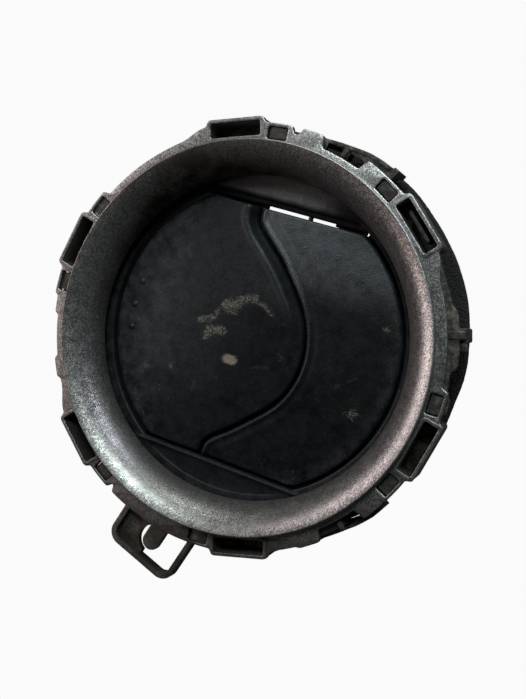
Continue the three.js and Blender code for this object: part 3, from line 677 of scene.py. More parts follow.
def foam_material():
    """Open black foam: pores, crumbs and a dusty cut face."""
    paint = Paint("foam_black", Metallic=0.0, Roughness=0.97)
    pores = paint.cells(0.55)
    crumbs = paint.noise(0.4, 6.0, 0.7)
    body = paint.mix(paint.range(pores, 0.1, 0.6), (0.004, 0.004, 0.004), (0.022, 0.021, 0.020))
    body = paint.mix(paint.range(crumbs, 0.55, 0.75, 0.0, 0.5), body, (0.05, 0.047, 0.042))
    paint.feed("Base Color", body)
    paint.feed("Normal", paint.bump(paint.plus(pores, crumbs), 0.45, 0.9))
    return paint.material


def steel():
    paint = Paint("pin_steel", Metallic=1.0)
    tint = paint.cloud(1.2, 5.0)
    paint.feed("Base Color", paint.mix(tint, (0.38, 0.38, 0.39), (0.62, 0.62, 0.63)))
    paint.feed("Roughness", paint.cloud(0.4, 4.0, 0.22, 0.42))
    paint.feed("Normal", paint.bump(paint.noise(0.25, 3.0), 0.01, 0.5))
    return paint.material


def bush_plastic():
    paint = Paint("bush_plastic", Metallic=0.0, Roughness=0.42, Subsurface_Weight=0.1,
                  Subsurface_Scale=MM)
    tint = paint.cloud(1.5, 5.0)
    paint.feed("Base Color", paint.mix(tint, (0.44, 0.42, 0.36), (0.56, 0.54, 0.47)))
    paint.feed("Normal", paint.bump(paint.noise(0.3, 3.0), 0.02, 0.5))
    return paint.material


def felt():
    paint = Paint("felt_ring", Metallic=0.0, Roughness=0.98, Sheen_Weight=0.4)
    fibres = paint.noise(0.25, 7.0, 0.75, 1.5)
    lit = paint.range(fibres, 0.35, 0.65)
    paint.feed("Base Color", paint.mix(lit, (0.018, 0.017, 0.016), (0.075, 0.072, 0.066)))
    paint.feed("Normal", paint.bump(fibres, 0.15, 0.9))
    return paint.material


# ---------- bezel ----------

def funnel(centre, reach, depth, start, end, steps):
    """Part of an ellipse, from an angle near the crest to an angle near the lip."""
    angles = np.radians(np.linspace(start, end, steps + 1))
    return [(centre - reach * math.sin(a), HEIGHT - FUNNEL_DEPTH + depth * math.cos(a)) for a in angles]


def bezel_ring():
    """The funnel, its rounded lip and crest, and the wall that stands on the flange."""
    reach = FUNNEL_FRONT - MOUTH_RADIUS
    start = math.degrees(math.asin((FUNNEL_FRONT - CREST_RADIUS) / reach))
    depth = FUNNEL_DEPTH / math.cos(math.radians(start))
    back_reach = FUNNEL_BACK - MOUTH_RADIUS - FUNNEL_WALL
    back_depth = FUNNEL_DEPTH - FUNNEL_WALL
    lip = FUNNEL_WALL / 2
    low = HEIGHT - FUNNEL_DEPTH
    front_end = math.degrees(math.acos(lip / depth))
    back_start = math.degrees(math.acos(lip / back_depth))
    back_end = math.degrees(math.acos((FLANGE_BOTTOM - low) / back_depth))
    edge = RING_RADIUS - CREST_RADIUS
    outline = [(RING_RADIUS, FLANGE_BOTTOM), (RING_RADIUS, FLANGE_TOP)]
    outline += arc((CREST_RADIUS, HEIGHT - edge), edge, 0, 90, 6)
    outline += funnel(FUNNEL_FRONT, reach, depth, start + 0.4, front_end, 30)
    outline += arc((MOUTH_RADIUS + lip, low + lip), lip, 180, 360, 6)[1:-1]
    outline += funnel(FUNNEL_BACK, back_reach, back_depth, back_start, back_end, 10)
    return lathe(outline, 360)


def flange_reach(angle):
    """The flange's outer radius: frames round the windows, shoulders, steps, pockets and notches."""
    reach = np.full_like(angle, FLANGE_RADIUS)

    def widen(middle, half, radius):
        inside = np.abs(away(angle, middle)) <= half
        reach[inside] = np.maximum(reach[inside], radius)

    for middle in WINDOW_ANGLES:
        widen(middle, WINDOW_FRAME, FRAME_RADIUS)
    for middle in NOTCH_ANGLES:
        widen(middle, 2 * NOTCH_HALF, FRAME_RADIUS)
    for middle, half, radius in FLANGE_STEPS:
        widen(middle, half, radius)
    for middle, side in SHOULDERS:
        far = away(angle, middle) * side
        drop = (FRAME_RADIUS - FLANGE_RADIUS) * smoothstep(SHOULDER_START, SHOULDER_END, far)
        on_slope = (far > 0) & (far < SHOULDER_END)
        reach[:] = np.where(on_slope, np.maximum(reach, FRAME_RADIUS - drop), reach)
    for middle in POCKET_ANGLES:
        far = away(angle, middle)
        chord = (POCKET_OUTER + POCKET_WALL - 0.05) / np.cos(np.radians(np.clip(far, -30, 30)))
        reach[:] = np.where(np.abs(far) < POCKET_REACH, chord, reach)
    for middle in NOTCH_ANGLES:
        reach[np.abs(away(angle, middle)) < NOTCH_HALF] = NOTCH_INNER
    return reach


def flange():
    half = POCKET_WIDTH / 2 + POCKET_WALL / 2
    holes = [ring_of(CREST_RADIUS - 1.5)]
    for angle in POCKET_ANGLES:
        holes.append(radial_box(POCKET_INNER - POCKET_WALL / 2, POCKET_OUTER + 0.1, half, 0.4, angle))
    for angle in WINDOW_ANGLES:
        holes.append(radial_box(WINDOW_INNER, WINDOW_OUTER, WINDOW_WIDTH / 2, 0.5, angle))
    return plate([polar_outline(flange_reach), *holes], FLANGE_BOTTOM, FLANGE_TOP, 0.3)


def pocket(angle):
    """A cup with thin rounded walls that stand a little above the flange."""
    bottom = FLANGE_TOP - POCKET_DEPTH - POCKET_WALL

    def outline(grown, corner):
        half = POCKET_WIDTH / 2 + grown
        return radial_box(POCKET_INNER - grown, POCKET_OUTER + grown, half, corner, angle)

    walls = plate([outline(POCKET_WALL, 1.1), outline(0, 0.5)], bottom, FLANGE_TOP + 0.2, 0.16)
    floor = plate([outline(POCKET_WALL / 2, 0.8)], bottom + 0.05, bottom + POCKET_WALL, 0.1)
    return [walls, floor]


def pocket_rib():
    bottom = FLANGE_TOP - POCKET_DEPTH - 0.4
    outline = radial_box(POCKET_INNER + 1.5, POCKET_INNER + 2.7, 4.5, 0.55, POCKET_ANGLES[0])
    return plate([outline], bottom, bottom + 5.4, 0.4)


def fixing_loop():
    """A rounded strip bent into a loop, with a tongue and a scalloped web inside it."""
    half = LOOP_WIDTH / 2
    start = LOOP_START
    bottom = FLANGE_TOP - LOOP_DEPTH

    def bend(inset, corner):
        reach = LOOP_REACH - inset
        side = half - inset
        corners = [(start, -side, 0), (reach, -side, corner), (reach, side, corner), (start, side, 0)]
        return filleted(corners, 0, 12)

    strip = combined(plate([bend(0, 3.8)], bottom, FLANGE_TOP, 0.45),
                     [plate([bend(LOOP_WALL, 2.5)], bottom - 1, FLANGE_TOP + 1, 0.2)], "DIFFERENCE")
    web = slab(start, LOOP_REACH - 0.8, -half + 0.8, -half + 10.4, bottom + 0.1, bottom + 1.6, 0.4, 0.25)
    web = combined(web, [plate([ring_of(4.0, 60, TONGUE)], bottom - 1, bottom + 3, 0.1)], "DIFFERENCE")
    tongue_end = arc(TONGUE, TONGUE_RADIUS, -90, 90, 24)
    tongue_shape = [(start, TONGUE[1] - TONGUE_RADIUS), *tongue_end, (start, TONGUE[1] + TONGUE_RADIUS)]
    tongue = plate([tongue_shape], bottom + 0.6, FLANGE_TOP - 0.6, 0.5)
    loop = combined(strip, [web, tongue])
    place = Matrix.Rotation(math.radians(LOOP_TURN), 4, "Z") @ Matrix.Translation((0, LOOP_SHIFT, 0))
    root = plate([ring_of(LOOP_ROOT)], bottom - 1, FLANGE_TOP + 1, 0.1)
    return combined(placed(loop, place), [root], "DIFFERENCE")


def paint_bezel(mesh):
    """Where the flange is silvered, where highlights are painted, and where the paint is dirty or darkened
    as painted shade.
    """
    radius, angle, z = polar_of(mesh)
    on_flange = smoothstep(RING_RADIUS - 0.4, RING_RADIUS + 0.1, radius)
    on_flange *= smoothstep(FLANGE_TOP - 0.5, FLANGE_TOP - 0.1, z)
    # The flange is silvered by overspray, and made brighter near 55 and 160 degrees as a painted
    # highlight.
    bright = bell(away(angle, 55), 24) + 0.16 * bell(away(angle, 160), 45)
    # Pale silver on the crest near 355 and 225 degrees is a painted highlight.
    on_crest = smoothstep(46.0, 48.2, radius) * smoothstep(RING_RADIUS + 0.1, RING_RADIUS - 0.3, radius)
    pale = 0.95 * bell(away(angle, 355), 27) + 0.6 * bell(away(angle, 225), 30)
    mark(mesh, "overspray_and_highlight", on_flange * bright + on_crest * pale)
    # The flange's top, where the painted edge glint may show.
    on_edge = smoothstep(RING_RADIUS + 0.1, RING_RADIUS + 0.4, radius)
    mark(mesh, "edge", on_edge * smoothstep(FLANGE_TOP - 1.2, FLANGE_TOP - 0.9, z))
    # Painted shade darkens the pockets' insides and other faces below the flange's top, the flange near
    # 262 degrees and the ring near 106 degrees; the brown at the lip is real dirt.
    in_pocket = smoothstep(FLANGE_TOP - 0.6, FLANGE_TOP - 3, z) * smoothstep(50.2, 50.8, radius)
    lip = smoothstep(MOUTH_RADIUS + 2.4, MOUTH_RADIUS, radius)
    dirt_and_shade_amount = 0.85 * in_pocket + 0.6 * lip
    dirt_and_shade_amount += 0.9 * smoothstep(RING_RADIUS, RING_RADIUS + 0.4, radius) * bell(away(angle, 262), 62)
    dirt_and_shade_amount += 0.9 * smoothstep(RING_RADIUS, RING_RADIUS - 0.6, radius) * bell(away(angle, 106), 30)
    mark(mesh, "dirt_and_shade", dirt_and_shade_amount)


def make_bezel(material):
    parts = [flange(), pocket_rib(), fixing_loop()]
    for angle in POCKET_ANGLES:
        parts += pocket(angle)
    mesh = combined(bezel_ring(), parts)
    paint_bezel(mesh)
    show("bezel_ring", mesh, VENT, material, "housing", ["bezel"])


# ---------- collar, barrel and foam ----------

def collar_reach(angle):
    """The collar's outer radius. Its flange shows beyond the bezel's most at angle 0."""
    reach = np.full_like(angle, COLLAR_OUTER + 0.4)
    for middle in SHOW_ANGLES:
        inside = np.abs(away(angle, middle)) <= SHOW_HALF
        reach[inside] = COLLAR_FLANGE - (0.6 if middle == 240 else 0)
    far = away(angle, 0)
    edge = np.interp(far, *zip(*SIDE_EDGE))
    return np.where(np.abs(far) <= SHOW_HALF, edge, reach)


def band(edge, inner, bottom, top, rounding=0.25):
    """A flat piece inside an edge of (degrees, radius) points. Its inner edge follows inner(radius)."""
    angles = np.linspace(edge[0][0], edge[-1][0], max(4, int(abs(edge[-1][0] - edge[0][0]))))
    radii = np.interp(angles, *zip(*edge))
    outside = polar_points(radii, angles)
    inside = polar_points(inner(radii), angles)
    return plate([outside + inside[::-1]], bottom, top, rounding)


def clip_housing(edge):
    """The frame that a panel clip hooks behind: a stepped roof, a skirt and two end walls."""
    top = COLLAR_TOP - 1.6
    first = edge[0]
    last = edge[-1]
    roof = band(edge, lambda r: COLLAR_FLANGE - 1, top - COLLAR_SHELF, top)
    step = band(edge[1:-1], lambda r: r - 1.1, top - 0.4, top + 0.35, 0.15)
    groove = band(edge[2:-2], lambda r: r - 2.3, top - 0.3, top + 0.2, 0.1)
    skirt = band(edge, lambda r: r - 1.4, COLLAR_TOP - 10.5, top - 0.1)
    made = [roof, step, groove, skirt]
    for start, radius in ((first[0], first[1]), (last[0] - 1.6, last[1])):
        wall = sector_outline(COLLAR_OUTER - 1, radius - 0.05, start, start + 1.6, 0.3)
        made.append(plate([wall], COLLAR_TOP - 7, top - 0.05, 0.25))
    return made


def side_boss():
    """A short rib at angle 0, with an arm over it, a curled end and a skirt below."""
    top = COLLAR_TOP - 1.2
    low = BARREL_TOP + 0.4
    rib = slab(COLLAR_OUTER - 1, BOSS_REACH, -1.4, 2.2, low, top, 0.5, 0.3)
    arm = slab(FLANGE_RADIUS - 1, BOSS_REACH - 0.1, -0.5, 1.6, top - 1, COLLAR_TOP + 0.25, 0.5, 0.3)
    curl = upright(plate([ring_of(1.1, 24, (BOSS_REACH - 1.3, top - 0.9))], 1.2, 3.4, 0.3))
    skirt = slab(BARREL_OUTER + 0.6, BOSS_REACH - 0.05, -1.35, 2.15, low - 4, low + 1, 0.5, 0.3)
    return [rib, arm, curl, skirt]


def cut_wells(mesh):
    """The wells beside the bezel's notches, and the rib that stands in each notch."""
    wells = []
    for angle, side in NOTCH_WELLS:
        span = sorted((angle + side * 0.95, angle + side * 5.7))
        well = sector_outline(WELL_INNER, COLLAR_FLANGE, *span, 0.3)
        wells.append(plate([well], COLLAR_TOP - WELL_DEPTH, COLLAR_TOP + 1, 0.1))
    ribs = []
    for angle in NOTCH_ANGLES:
        rib = radial_box(NOTCH_INNER + 0.3, FRAME_RADIUS, 0.65, 0.3, angle)
        ribs.append(plate([rib], COLLAR_TOP - WELL_DEPTH, COLLAR_TOP + 1.2, 0.25))
    return combined(combined(mesh, wells, "DIFFERENCE"), ribs)


def paint_collar(mesh):
    """Thin dust all over, and pale colour painted as light where the collar's flange shows near 4 and 57
    degrees.
    """
    radius, angle, z = polar_of(mesh)
    exposed = smoothstep(52, 53.2, radius) * smoothstep(COLLAR_TOP - 4, COLLAR_TOP - 2, z)
    # Painted light: the exposed flange is paler near 4 and 57 degrees.
    lit = smoothstep(34, 24, np.abs(away(angle, 4))) + smoothstep(16, 12, np.abs(away(angle, 57)))
    mark(mesh, "dust_and_light", 0.35 + 0.9 * exposed * lit)


def make_collar(material):
    step = COLLAR_BOTTOM + 1.5
    outline = filleted([
        (COLLAR_LIP, COLLAR_BOTTOM), (COLLAR_OUTER, COLLAR_BOTTOM), (COLLAR_OUTER, COLLAR_TOP),
        (COLLAR_INNER, COLLAR_TOP), (COLLAR_INNER, step), (COLLAR_LIP, step),
    ], 0.35)
    rings = [polar_outline(collar_reach), ring_of(COLLAR_INNER + 1)]
    ledge = plate(rings, COLLAR_TOP - COLLAR_SHELF, COLLAR_TOP - 0.02, 0.3)
    parts = [ledge, *side_boss()]
    half = WINDOW_WIDTH / 2 - 0.3
    for angle in WINDOW_ANGLES:
        pad = radial_box(WINDOW_INNER + 0.3, WINDOW_OUTER - 0.06, half, 0.3, angle)
        parts.append(plate([pad], COLLAR_TOP - 1.7, FLANGE_TOP - 0.7, 0.15))
    for edge in CLIP_EDGES:
        parts += clip_housing(edge)
    mesh = cut_wells(combined(lathe(outline, 300), parts))
    paint_collar(mesh)
    show("vent_collar", mesh, VENT, material, "housing", ["collar"])


def make_barrel(material):
    inner = BARREL_OUTER - BARREL_WALL
    ledge = COLLAR_BOTTOM - 0.3
    neck = SPIGOT_LENGTH + 2.5
    spigot_inner = SPIGOT_OUTER - BARREL_WALL
    outline = filleted([
        (spigot_inner, 0), (SPIGOT_OUTER - 0.8, 0, 0.2), (SPIGOT_OUTER, 1.6, 0.6),
        (SPIGOT_OUTER, SPIGOT_LENGTH, 1.0), (BARREL_OUTER, neck, 1.2), (BARREL_OUTER, BARREL_TOP),
        (inner, BARREL_TOP), (inner, ledge), (COLLAR_INNER, ledge), (COLLAR_INNER, ledge - 1.4),
        (inner, ledge - 3, 0.8), (inner, neck + 1, 1.2), (spigot_inner, SPIGOT_LENGTH + 0.6, 1.0),
    ], 0.3)
    mesh = lathe(outline, 300)
    z = points_of(mesh)[:, 2]
    mark(mesh, "dust_and_light", 0.25 + 0.4 * smoothstep(6, 0, z))
    show("vent_barrel", mesh, VENT, material, "housing", ["barrel"])


def evenly(outline, length):
    """A closed outline with points added, so that they stand about a length apart."""
    made = []
    for i, point in enumerate(outline):
        start = Vector(outline[i - 1])
        step = Vector(point) - start
        pieces = max(1, round(step.length / length))
        made += [tuple(start + step * (k + 1) / pieces) for k in range(pieces)]
    return made


def make_foam(material):
    """A band of soft foam. Its cut edges are uneven, and it stays inside its CAD outline."""
    outer = reach_of("foam_seal")
    bottom = low_of("foam_seal")
    top = top_of("foam_seal")
    inner = BARREL_OUTER + 0.1
    outline = filleted([(inner, bottom), (outer, bottom, 1.4), (outer, top, 1.6), (inner, top)], 0.2, 6)
    mesh = lathe(evenly(outline, 0.7), 460)
    for vertex in mesh.vertices:
        radius = math.hypot(vertex.co.x, vertex.co.y)
        if radius < inner + 0.5:
            continue
        share = min(1, (radius - inner) / 2)
        dent = 0.5 + 0.5 * noise.noise(vertex.co / 9)
        pore = abs(noise.noise(vertex.co / 0.9)) + 0.5 * abs(noise.noise(vertex.co / 2.3))
        angle = math.degrees(math.atan2(vertex.co.y, vertex.co.x))
        squash = 0.5 * smoothstep(12, -4, angle) + 1.0 * smoothstep(-8, -18, angle)
        squash += 1.1 * smoothstep(-24, -44, angle) + 0.8 * smoothstep(48, 90, angle)
        lean = 2.1 * (top - vertex.co.z) / (top - bottom)
        shrink = share * (0.45 * dent + 0.25 * pore + squash + lean)
        vertex.co.x *= 1 - shrink / radius
        vertex.co.y *= 1 - shrink / radius
        side = (vertex.co.z - (bottom + top) / 2) / ((top - bottom) / 2)
        vertex.co.z -= side * share * (0.5 * dent + 0.3 * pore)
    piece = show("foam_band", mesh, VENT, material, "housing", ["foam_seal"], 180)


def make_friction_ring(material):
    low = low_of("friction_ring")
    top = top_of("friction_ring")
    mesh = lathe(rectangle(SLEEVE_OUTER + 0.7, ROTOR_RIM - 0.1, low, top, 0.5), 240)
    show("felt_brake", mesh, VENT, material, "housing", ["friction_ring"])


# ---------- rotor ----------

LAND_LIMIT = (SLEEVE_INNER + SLEEVE_OUTER) / 2


def land_face(side):
    """A raised face behind a straight edge, with a lip along that edge."""
    steps = np.array([0, 0.12, 0.3, 0.55, 0.85, 1.2, 1.6, 2.1])
    rows = np.concatenate([LAND_EDGE + steps, np.linspace(LAND_EDGE + 2.6, LAND_LIMIT - 0.25, 14)])
    half = np.sqrt(LAND_LIMIT ** 2 - rows ** 2)

    def front(x, y):
        inside = y - LAND_EDGE
        if side > 0:
            shape = -0.9 * smoothstep(1.9, 1.1, inside) + 0.35 * smoothstep(1.2, 2.6, inside)
            shape -= 0.25 * smoothstep(2.6, 7.5, inside)
        else:
            shape = 0.55 * bell(inside - 0.7, 0.55) - 0.2 * smoothstep(1, 5, inside)
        return ROTOR_TOP + shape - 0.35 * smoothstep(0.35, 0, inside)

    def back(x, y):
        return np.full_like(x, ROTOR_TOP - 2)

    return faced_plate(rows, -half, half, front, back, np.array([0, 0.3, 0.8]), 60)


def land_walls(side):
    """The wall under a land's edge, and a skirt that stands a little further in."""
    start = 0.2 - math.sqrt(LAND_LIMIT ** 2 - LAND_EDGE ** 2)
    spans = [(start, SLIT[0]), (SLIT[1], UPPER_WALL_END)] if side > 0 else [(start, -start)]
    behind = LAND_EDGE + 1.2
    low = ROTOR_TOP - WALL_HEIGHT
    walls = [slab(a, b, LAND_EDGE, behind, low, ROTOR_TOP - 1, 0.3, 0.15) for a, b in spans]
    walls += [slab(a, b, SKIRT_INNER, behind, low, ROTOR_TOP - 3, 0.2, 0.1) for a, b in spans]
    return walls


def hinge_lugs(side):
    """The blocks under a land that hold the bushes."""
    lugs = []
    for name, x in HINGE_X.items():
        end = math.sqrt(LAND_LIMIT ** 2 - (abs(x) + LUG_HALF) ** 2)
        outline = rectangle(x * side - LUG_HALF, x * side + LUG_HALF, BUSH_START[name] - 0.1, end, 0.6)
        lugs.append(plate([outline], HINGE_Z - LUG_HALF, ROTOR_TOP - 1, 0.25))
    return lugs


def land(side):
    """A land with its walls and lugs. It is drawn at the top, and the lower one is turned half round."""
    parts = [land_face(side), *land_walls(side), *hinge_lugs(side)]
    if side < 0:
        parts = [placed(part, Matrix.Rotation(math.pi, 4, "Z")) for part in parts]
    return parts


def paint_rotor(mesh):
    """A dusty rim, and a lens on the upper land painted as lit: pale colour and a strong painted sheen."""
    x, y, z = points_of(mesh).T
    front = smoothstep(ROTOR_TOP - 1.5, ROTOR_TOP - 0.8, z)
    across = smoothstep(-26, -10, x) * smoothstep(17, 6, x)
    upper = smoothstep(LAND_EDGE + 1.2, LAND_EDGE + 3, y)
    lens = smoothstep(LAND_EDGE + 1.6, LAND_EDGE + 3, y) * across
    rim = smoothstep(39, 42, np.hypot(x, y))
    # The rim's dust is real; the lens's pale colour and pale brown mark are painted light.
    mark(mesh, "dust_and_light", 0.15 + (2.2 * upper * across + 0.3 * rim) * front)
    mark(mesh, "pale_mark", 0.22 * lens * front)
    mark(mesh, "grain", 0.35 + 0.6 * lens)
    # Painted sheen: strong on the upper land's lens, and a little stronger on the lower land.
    mark(mesh, "sheen", (0.25 + 2.1 * lens * front + 0.3 * smoothstep(0, -1, y)) / MOST_SHEEN)


def make_rotor(material):
    rim_low = ROTOR_TOP - RIM_HEIGHT
    ring = lathe(filleted([
        (SLEEVE_INNER, ROTOR_BOTTOM), (SLEEVE_OUTER, ROTOR_BOTTOM, 0.2),
        (SLEEVE_OUTER + 0.7, ROTOR_BOTTOM + 0.7, 0.2), (SLEEVE_OUTER, ROTOR_BOTTOM + 1.4, 0.2),
        (SLEEVE_OUTER, rim_low, 0.4), (ROTOR_RIM, rim_low), (ROTOR_RIM, ROTOR_TOP, 0.6),
        (ROTOR_BORE, ROTOR_TOP, 0.6), (ROTOR_BORE, ROTOR_TOP - 1.2, 0.2),
        (SLEEVE_INNER, ROTOR_TOP - 2, 0.3),
    ], 0.25), 300)
    ledge_top = FLAP_TOP - FLAP_THICKNESS - 0.4
    ledge_outline = sector_outline(LEDGE_INNER, SLEEVE_INNER + 0.5, -LEDGE_SPAN, LEDGE_SPAN, 0.3)
    ledge = plate([ledge_outline], ledge_top - 1.2, ledge_top, 0.3)
    mesh = combined(ring, [*land(1), *land(-1), ledge])
    holes = []
    for name, x in HINGE_X.items():
        end = BUSH_START[name] + BUSH_LENGTH + 0.3
        holes += hinge_bores(x, BUSH_RADIUS + 0.1, LAND_EDGE - 1, end)
    mesh = combined(mesh, holes, "DIFFERENCE")
    paint_rotor(mesh)
    show("rotor_frame", mesh, ROTOR, material, "rotor", ["rotor_ring"])


def make_retainer(material):
    low = low_of("rotor_retainer")
    top = top_of("rotor_retainer")
    body = lathe(rectangle(SLEEVE_OUTER + 0.3, ROTOR_RIM, low, top, 0.4), 240)
    cuts = []
    for i in range(RETAINER_NOTCHES):
        cut = slab(ROTOR_RIM - 1.0, ROTOR_RIM + 1, -2, 2, low - 1, low + 0.9, 0.3, 0.1)
        cuts.append(placed(cut, Matrix.Rotation(math.radians(360 / RETAINER_NOTCHES * i + 10), 4, "Z")))
    mesh = combined(body, cuts, "DIFFERENCE")
    mark(mesh, "dust_and_light", 0.4)
    show("retaining_ring", mesh, ROTOR, material, "rotor", ["rotor_retainer"])


# ---------- flaps ----------

def split_line():
    """A smooth curve through SPLIT_POINTS, as points from the upper land to the lower one."""
    points = np.array(SPLIT_POINTS, float)
    ends = [2 * points[0] - points[1], *points, 2 * points[-1] - points[-2]]
    made = []
    for p0, p1, p2, p3 in zip(ends, ends[1:], ends[2:], ends[3:]):
        for t in np.linspace(0, 1, 24, endpoint=False):
            made.append(0.5 * (2 * p1 + (p2 - p0) * t + (2 * p0 - 5 * p1 + 4 * p2 - p3) * t ** 2
                               + (3 * p1 - p0 - 3 * p2 + p3) * t ** 3))
    made.append(points[-1])
    return np.array(made)


SPLIT = split_line()


def split_offset(offset):
    """The split moved sideways, as (x, y) points in y order from bottom to top."""
    along = np.gradient(SPLIT, axis=0)
    along /= np.linalg.norm(along, axis=1)[:, None]
    moved = SPLIT + np.column_stack([-along[:, 1], along[:, 0]]) * offset
    order = np.argsort(moved[:, 1])
    return moved[order]


def split_x(rows, offset):
    moved = split_offset(offset)
    return np.interp(rows, moved[:, 1], moved[:, 0])


def distance_to(x, y, line):
    """Distance of each point to the nearest point of a finely drawn line."""
    given = np.linspace(0, 1, len(line))
    wanted = np.linspace(0, 1, 600)
    fine = np.column_stack([np.interp(wanted, given, line[:, k]) for k in (0, 1)])
    nearest = np.full(x.shape, np.inf)
    for px, py in fine:
        nearest = np.minimum(nearest, (x - px) ** 2 + (y - py) ** 2)
    return np.sqrt(nearest)


def rolled(distance, radius):
    """How far a rounded edge has dropped at a distance in from it."""
    t = np.clip(1 - distance / radius, 0, 1)
    return radius * (1 - np.sqrt(1 - t * t))


def flap_rows():
    """Heights of a flap's rows of points, closer together towards its two ends."""
    ends = np.array([0, 0.08, 0.2, 0.35, 0.55, 0.8, 1.2])
    middle = np.linspace(-FLAP_EDGE + 1.7, FLAP_EDGE - 1.7, 110)
    return np.concatenate([-FLAP_EDGE + ends, middle, FLAP_EDGE - ends[::-1]])


def flap_face(side):
    """One flap's plate. Its front is slightly domed, with its edge rolled along the split."""
    rows = flap_rows()
    rim = np.sqrt(FLAP_RIM ** 2 - rows ** 2)
    offset = SPLIT_GAP / 2
    edge = split_offset(side * offset)

    def front(x, y):
        to_split = distance_to(x, y, edge)
        to_rim = FLAP_RIM - np.hypot(x, y)
        to_end = FLAP_EDGE - np.abs(y)
        middle = FLAP_MIDDLE["left" if side < 0 else "right"]
        z = FLAP_TOP + 0.45 * (1 - ((x - middle[0]) ** 2 + (y - middle[1]) ** 2) / 900)
        if side < 0:
            upper = smoothstep(-6, 14, y)
            z -= upper * 1.1 * smoothstep(3.4, 0, to_split) ** 1.5
            z += upper * 0.35 * bell(to_split - 3.3, 1.0)
            z -= rolled(to_split, 0.7) + 0.8 * rolled(to_rim, 2.0)
        else:
            z += 0.32 * bell(to_split - 0.85, 0.5)
            z -= 0.18 * bell(to_split - 2.0, 0.8)
            z += 0.12 * bell(to_split - 3.4, 0.9)
            z -= rolled(to_split, 0.6) + 0.8 * rolled(to_rim, 1.4)
        return z - rolled(to_end, 0.6)

    def back(x, y):
        to_rim = FLAP_RIM - np.hypot(x, y)
        return FLAP_TOP - FLAP_THICKNESS + 0.8 * rolled(to_rim, 0.5)

    split = split_x(rows, side * offset)
    left, right = (-rim, split) if side < 0 else (split, rim)
    near = np.array([0, 0.08, 0.2, 0.35, 0.55, 0.8, 1.1, 1.45, 1.85, 2.3, 2.8, 3.4, 4.1, 5.0])
    return faced_plate(rows, left, right, front, back, near, 80)


def crank_end(x):
    return (x - CRANK_LENGTH * math.sin(CRANK_LEAN), HINGE_Z - CRANK_LENGTH * math.cos(CRANK_LEAN))


def crank(x):
    """An arm that tapers from the spine to the round end that holds the link's pin."""
    end_x, end_z = crank_end(x)
    lean = math.degrees(math.atan2(end_z - HINGE_Z, end_x - x))
    outline = arc((x, HINGE_Z), 2.5, lean + 80, lean + 280, 16)
    outline += arc((end_x, end_z), LINK_END_RADIUS, lean - 85, lean + 85, 16)
    hole = ring_of(LINK_PIN_RADIUS + 0.05, 24, (end_x, end_z))
    return upright(plate([outline, hole], -1.4, 1.4, 0.3))


def finger_dot(angle):
    turn = math.radians(angle)
    profile = [(0, -0.6), (1.0, -0.6), (0.98, 0.0), (0.86, 0.22), (0.62, 0.46), (0.32, 0.6), (0, 0.64)]
    place = Matrix.Translation((DOT_CIRCLE * math.cos(turn), DOT_CIRCLE * math.sin(turn), FLAP_TOP + 0.12))
    return placed(lathe(profile, 24), place)


def split_lip():
    """A thin lip that follows the split behind the other flap's edge."""
    near = split_offset(SPLIT_GAP / 2 + 1.4)
    far = split_offset(-2.6)

    def keep(line):
        points = [tuple(p) for p in line if abs(p[1]) < FLAP_EDGE - 0.05]
        bottom = (points[0][0], 0.05 - FLAP_EDGE)
        top = (points[-1][0], FLAP_EDGE - 0.05)
        return [bottom, *points[2:-2:3], top]

    top = FLAP_TOP - FLAP_THICKNESS - 0.4
    lip = plate([keep(near) + keep(far)[::-1]], top - 1.1, top, 0.2)
    riser = plate([keep(near) + keep(split_offset(SPLIT_GAP / 2 + 0.7))[::-1]], top - 1.05, top + 1, 0.1)
    return [lip, riser]


def spine(x, back):
    """The hinge bar behind a flap and the blocks that hold it to the plate."""
    half = SPINE_HALF
    wide = SPINE_RADIUS
    profile = [(0, -half), (PIN_RADIUS + 0.05, -half), (wide - 0.3, -half), (wide, -half + 0.3),
               (wide, half - 0.3), (wide - 0.3, half), (0, half)]
    blocks = []
    for y in (2 - half, half - 2):
        blocks.append(slab(x - wide, x + wide, y - 1.8, y + 1.8, HINGE_Z, back, 0.5, 0.2))
    return [round_bar(profile, x, HINGE_Z), *blocks]


def back_ribs(side, back):
    """Stiffening ribs across the back of a flap."""
    ribs = []
    for y in BACK_RIBS:
        near = float(split_x(np.array([y]), 0)[0])
        rim = math.sqrt(FLAP_RIM ** 2 - y * y)
        start, end = (-rim + 3, near - 4) if side < 0 else (near + 4, rim - 3)
        ribs.append(slab(start, end, y - 0.45, y + 0.45, back - 1.6, back, 0.3, 0.15))
    return ribs


# Dried smears on the left flap: start, end and half width.
SMEARS = [
    ((-9.2, 6.4), (-6.2, 7.6), 1.25), ((-6.0, 8.2), (-3.6, 9.8), 1.0), ((-3.6, 9.9), (-1.6, 10.6), 0.8),
    ((-2.4, 9.4), (0.8, 9.3), 0.45), ((0.8, 9.3), (4.1, 7.4), 0.4), ((-15.0, 0.8), (-12.2, 2.0), 0.8),
    ((-11.6, 2.2), (-11.0, 4.4), 0.7), ((-11.9, -1.2), (-8.0, -0.4), 1.1),
    ((-12.4, -3.4), (-11.2, -1.6), 0.7), ((-7.6, 4.9), (-5.6, 5.2), 0.5),
]
# Straight scratches, as start and end.
SCRATCHES = {
    "left": [
        ((-23.6, 19.5), (-24.3, 17.6)), ((-24.3, 17.6), (-22.4, 16.0)), ((-12, -15.4), (-12.2, -18.4)),
        ((2.3, -7.2), (6.9, -6.0)), ((0, 9.9), (3, 9.4)), ((3, 9.4), (5, 7.1)),
    ],
    "right": [((28.2, -2.9), (30.3, -1.2)), ((25.5, -5.2), (26.4, -4.4))],
}
